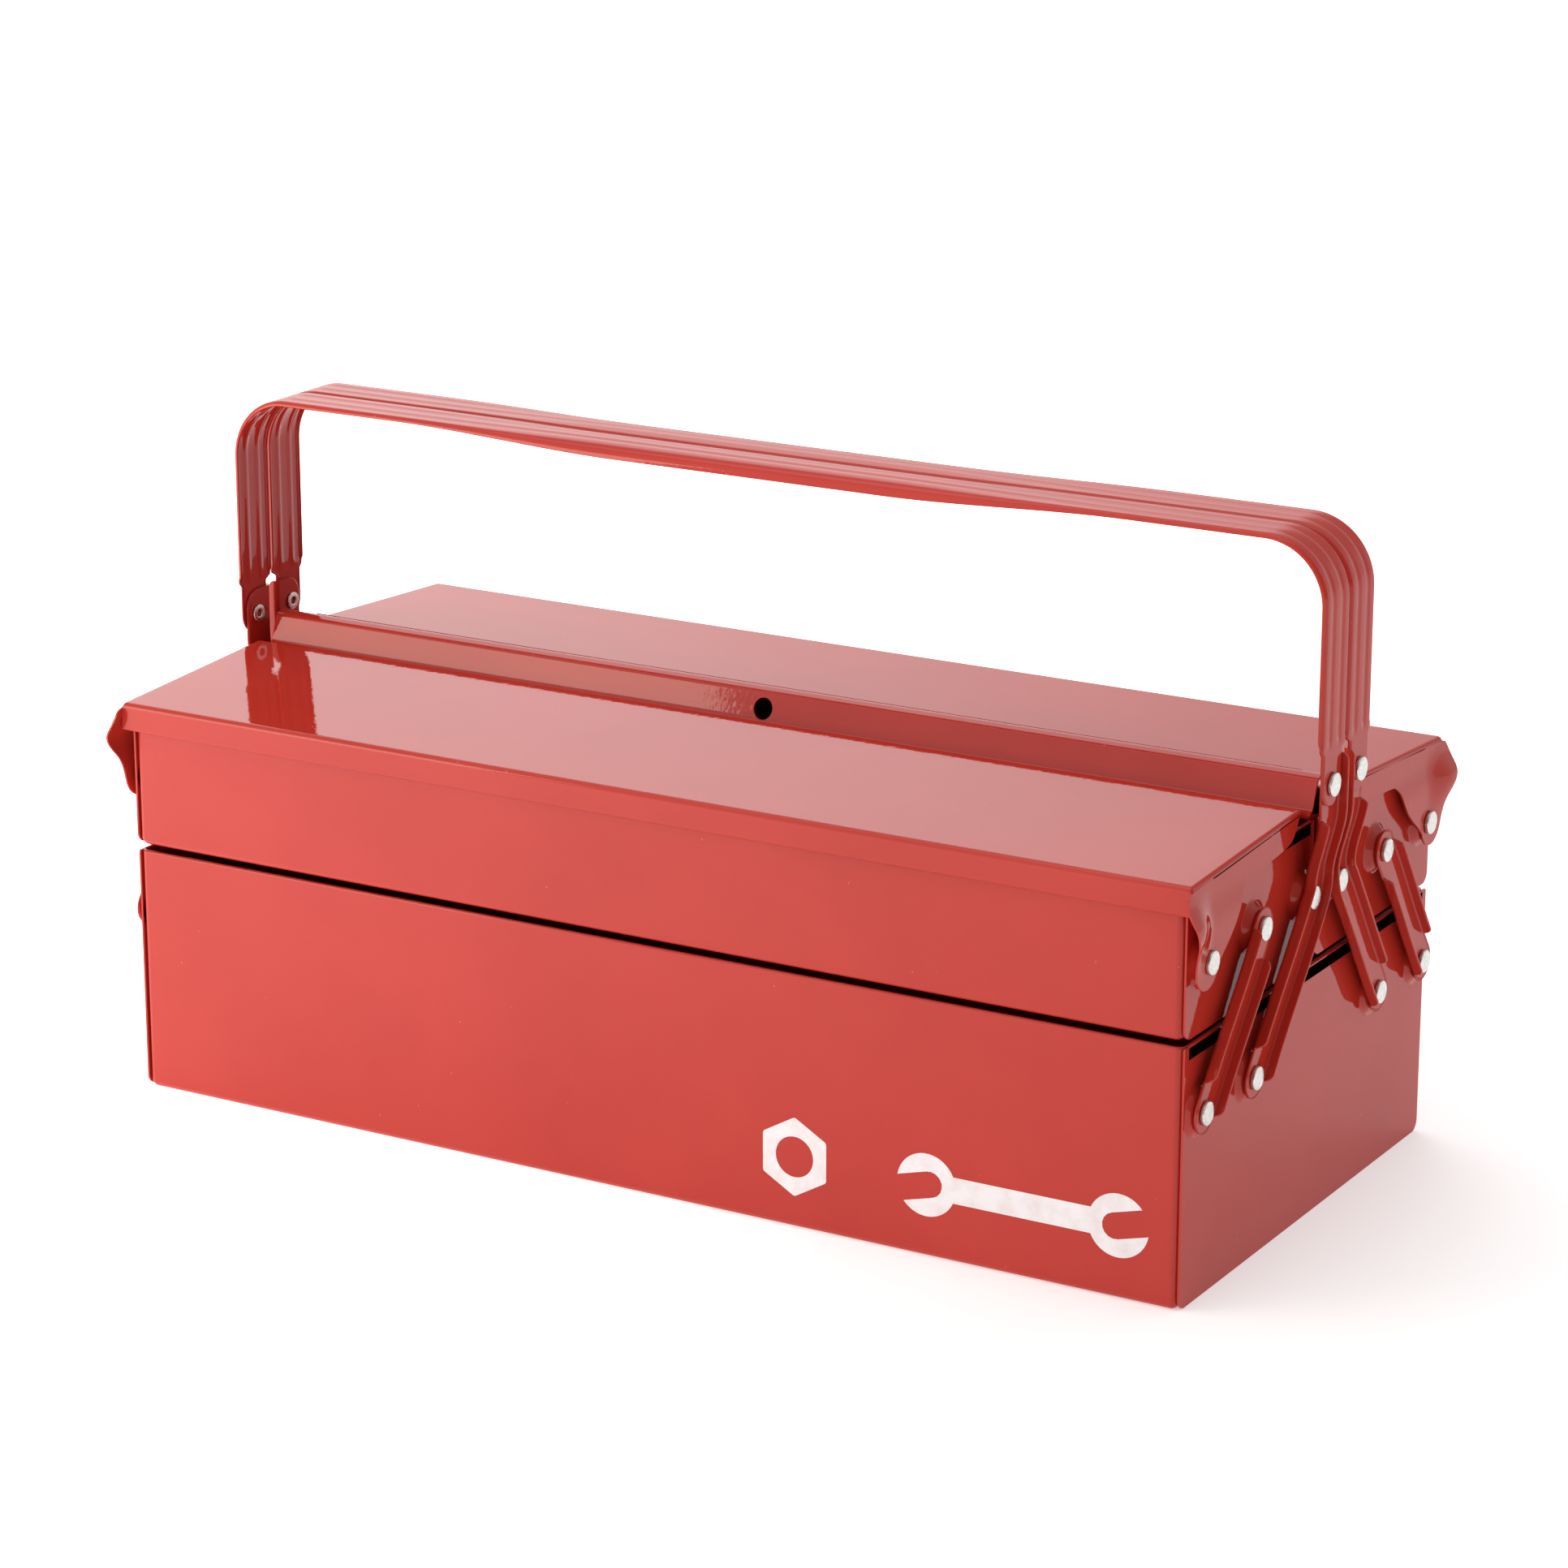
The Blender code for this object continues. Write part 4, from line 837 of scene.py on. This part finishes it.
# %% Place the rivets
ARM_GRIP, LID_GRIP, HANDLE_GRIP = 2.8, 2.5, 3.2
spots = [(s, BASE_WEB + ARM_SHEET + GAP, f * p[0], p[1]) for s, _ in SIDES for _, f in FACES
         for p in (SHORT_BASE, LONG_BASE)]
names = [f"rivet_{t}_{a}_base_{w}" for t, _ in FACES for a in ("short", "long") for _, w in SIDES]
rivets("base_rivets", "base", ARM_GRIP, spots, names)
for title, face in FACES:
    spots = [(s, TRAY_WEB + ARM_SHEET + GAP, face * p[0], p[1]) for s, _ in SIDES
             for p in (SHORT_TRAY, LONG_TRAY)]
    names = [f"rivet_{title}_{a}_tray_{w}" for a in ("short", "long") for _, w in SIDES]
    rivets(f"{title}_tray_rivets", f"{title}_tray", ARM_GRIP, spots, names)
    spots = [(s, END_X + LID_BOSS + GAP + SHEET + GAP, face * LID_AT[0], LID_AT[1]) for s, _ in SIDES]
    names = [f"rivet_{title}_lid_{w}" for _, w in SIDES]
    rivets(f"{title}_lid_rivets", f"{title}_tray", LID_GRIP, spots, names)
    spots = [(s, STRAP_X + STRAP + GAP, face * HANDLE_AT[0], HANDLE_AT[1]) for s, _ in SIDES]
    names = [f"rivet_{title}_handle_{w}" for _, w in SIDES]
    rivets(f"{title}_handle_rivets", f"{title}_long_arms", HANDLE_GRIP, spots, names)
print("28 rivets in seven meshes")

# %% [markdown]
# ## Printed emblem
# A plain white print sits low on the front: a hexagon nut and an open spanner, the signs of a box for
# tools. Screen ink is a thin film, so each shape is cut as a plate eight hundredths thick whose back
# is just inside the wall. The ink is matter than the enamel and lets a trace of red through.

# %% Ink
def ink(name):
    made, tree, bsdf = tree_of(name)
    place = node(tree, "ShaderNodeTexCoord").outputs["Object"]
    film = ramp(tree, noise(tree, place, 160.0, 4.0, 0.6), (0.3, (0.78, 0.7, 0.7, 1)),
                (0.6, (0.86, 0.83, 0.84, 1)))
    tree.links.new(film, bsdf.inputs["Base Color"])
    grain = bump(tree, noise(tree, place, 2200.0, 2.0), 0.1, 0.0002)
    tree.links.new(grain, bsdf.inputs["Normal"])
    bsdf.inputs["Roughness"].default_value = 0.38
    return made


INK = ink("white_ink")


# %% Nut and spanner
def spanner(at, half_length, head, shaft, jaw, tilt):
    """Outline of a double open-ended spanner lying level."""
    def end(sign):
        centre = np.array([sign * half_length, 0.0])
        toward = 0.0 if sign > 0 else math.pi
        turn, open_at = math.asin(shaft / head), math.asin(jaw / head)
        line = [toward + a for a in np.linspace(math.pi - turn, tilt + open_at, 20)]
        out = [centre + head * np.array([math.cos(a), math.sin(a)]) for a in line]
        way = np.array([math.cos(toward + tilt), math.sin(toward + tilt)])
        across = np.array([-way[1], way[0]])
        for a in np.linspace(math.pi / 2, -math.pi / 2, 9):
            out.append(centre - way * (0.12 * head + jaw * math.cos(a)) + across * jaw * math.sin(a))
        line = [toward + a for a in np.linspace(tilt - open_at, turn - math.pi, 20)]
        return out + [centre + head * np.array([math.cos(a), math.sin(a)]) for a in line]
    return [tuple(np.array(at) + p) for p in end(1) + end(-1)]


NUT_AT, NUT_R, NUT_BORE = (73.0, 29.0), 16, 8.2
SPANNER_AT, SPANNER_HALF, HEAD_R, SHAFT, JAW = (170.0, 29.0), 40.0, 12.5, 5.2, 5.2
FILM, FILM_OUT = 0.08, 0.05


def film_face(y, z):
    return y * 0 + WALL_Y + FILM_OUT


turn = np.radians(range(30, 390, 60))
hexagon = [(NUT_AT[0] + NUT_R * math.cos(a), NUT_AT[1] + NUT_R * math.sin(a)) for a in turn]
hexagon = fillet(hexagon, [1.6] * 6, 5, True)
outline = spanner(SPANNER_AT, SPANNER_HALF, HEAD_R, SHAFT, JAW, math.radians(15))
nut = pressed(hexagon, [circle(NUT_AT, NUT_BORE, 48)], [], film_face, 1, FILM, hole=(*NUT_AT, NUT_BORE))
verts, faces = merged(nut, pressed(outline, [], [], film_face, 1, FILM))
emblem = solid("front_emblem", [(y, -x, z) for x, y, z in verts], faces, INK, 35, "base")
print("emblem:", len(emblem.data.polygons), "faces")

# %% [markdown]
# ## Stage, light and camera
# Gloss paint shows its surroundings more than itself, so the light is mostly large and soft: a pale
# glowing table, a white room that is brighter at the left, a wide panel above, and a small warm one
# at the front left.

# %% Glowing table
mesh = bpy.data.meshes.new("floor")
mesh.from_pydata([(-6, -6, 0), (6, -6, 0), (6, 6, 0), (-6, 6, 0)], [], [(0, 1, 2, 3)])
floor = bpy.data.objects.new("floor", mesh)
bpy.context.collection.objects.link(floor)
pale, tree, bsdf = tree_of("pale_floor")
bsdf.inputs["Base Color"].default_value = grey(0.78)
bsdf.inputs["Roughness"].default_value = 0.9
bsdf.inputs["Emission Color"].default_value = grey(1)
spot = node(tree, "ShaderNodeSeparateXYZ", [("Vector", node(tree, "ShaderNodeTexCoord").outputs["Object"])])
below = node(tree, "ShaderNodeMapRange", [("Value", spot.outputs["X"])], interpolation_type="SMOOTHSTEP")
for socket, value in (("From Min", 0.25), ("From Max", -0.6), ("To Min", 0.42), ("To Max", 1.5)):
    below.inputs[socket].default_value = value
tree.links.new(below.outputs["Result"], bsdf.inputs["Emission Strength"])
mesh.materials.append(pale)

# %% [markdown]
# The room is white all round, brighter at the back left and front left, and dimmer at the right.
# Each glow below is a direction, the cosine where it starts, and the strength it adds. The cosine
# between a ray and the direction comes from a dot product, and a smooth ramp turns it into light.

# %% White room
ROOM = 0.87
GLOWS = (((-0.66, 0.6, 0.46), 0.86, 1.6), ((-0.74, -0.64, 0.2), 0.72, 0.4), ((0.86, -0.5, 0.1), 0.1, -0.62),
         ((0.1, 0.9, 0.42), 0.9, -0.4), ((0.1, 0.95, 0.1), 0.95, 0.25))
world = bpy.data.worlds.new("white room")
bpy.context.scene.world = world
world.use_nodes = True
tree = world.node_tree
tree.nodes["Background"].inputs["Color"].default_value = grey(1)
toward = node(tree, "ShaderNodeTexCoord").outputs["Generated"]
level = node(tree, "ShaderNodeValue")
level.outputs["Value"].default_value = ROOM
total = level.outputs["Value"]
for way, start, amount in GLOWS:
    facing = node(tree, "ShaderNodeVectorMath", [(0, toward)], operation="DOT_PRODUCT")
    facing.inputs[1].default_value = Vector(way).normalized()
    part = node(tree, "ShaderNodeMapRange", [("Value", facing.outputs["Value"])],
                interpolation_type="SMOOTHSTEP")
    for socket, value in (("From Min", start), ("From Max", 1.0), ("To Min", 0.0), ("To Max", amount)):
        part.inputs[socket].default_value = value
    total = node(tree, "ShaderNodeMath", [(0, total), (1, part.outputs["Result"])],
                 operation="ADD").outputs["Value"]
tree.links.new(total, tree.nodes["Background"].inputs["Strength"])


# %% Soft panels
def panel(name, place, aim, size, power):
    light = bpy.data.lights.new(name, "AREA")
    light.shape, light.size, light.size_y, light.energy = "RECTANGLE", size[0], size[1], power
    made = bpy.data.objects.new(name, light)
    bpy.context.collection.objects.link(made)
    made.location = place
    made.visible_camera = False
    made.rotation_euler = (Vector(aim) - Vector(place)).to_track_quat("-Z", "Y").to_euler()
    return made


panel("top_panel", (-0.3, -0.4, 2.4), (0, 0, 0.1), (1.8, 1.8), 9)
warm = panel("front_left_panel", (-0.95, -0.95, 0.4), (-0.24, 0, 0.08), (0.6, 0.6), 5)
warm.data.color = (1.0, 0.86, 0.72)

# %% Camera
# A camera looks down its own -Z, so +Z is turned away from the box.
AWAY = Vector((0.48455, -0.82557, 0.28920))
eye = bpy.data.cameras.new("camera")
eye.lens, eye.sensor_width, eye.clip_end = 111.76, 36.0, 20.0
camera = bpy.data.objects.new("camera", eye)
bpy.context.collection.objects.link(camera)
camera.location = (0.9428, -1.5988, 0.6978)
camera.rotation_euler = AWAY.to_track_quat("Z", "Y").to_euler()
bpy.context.scene.camera = camera
bpy.context.scene.view_settings.view_transform = "Standard"
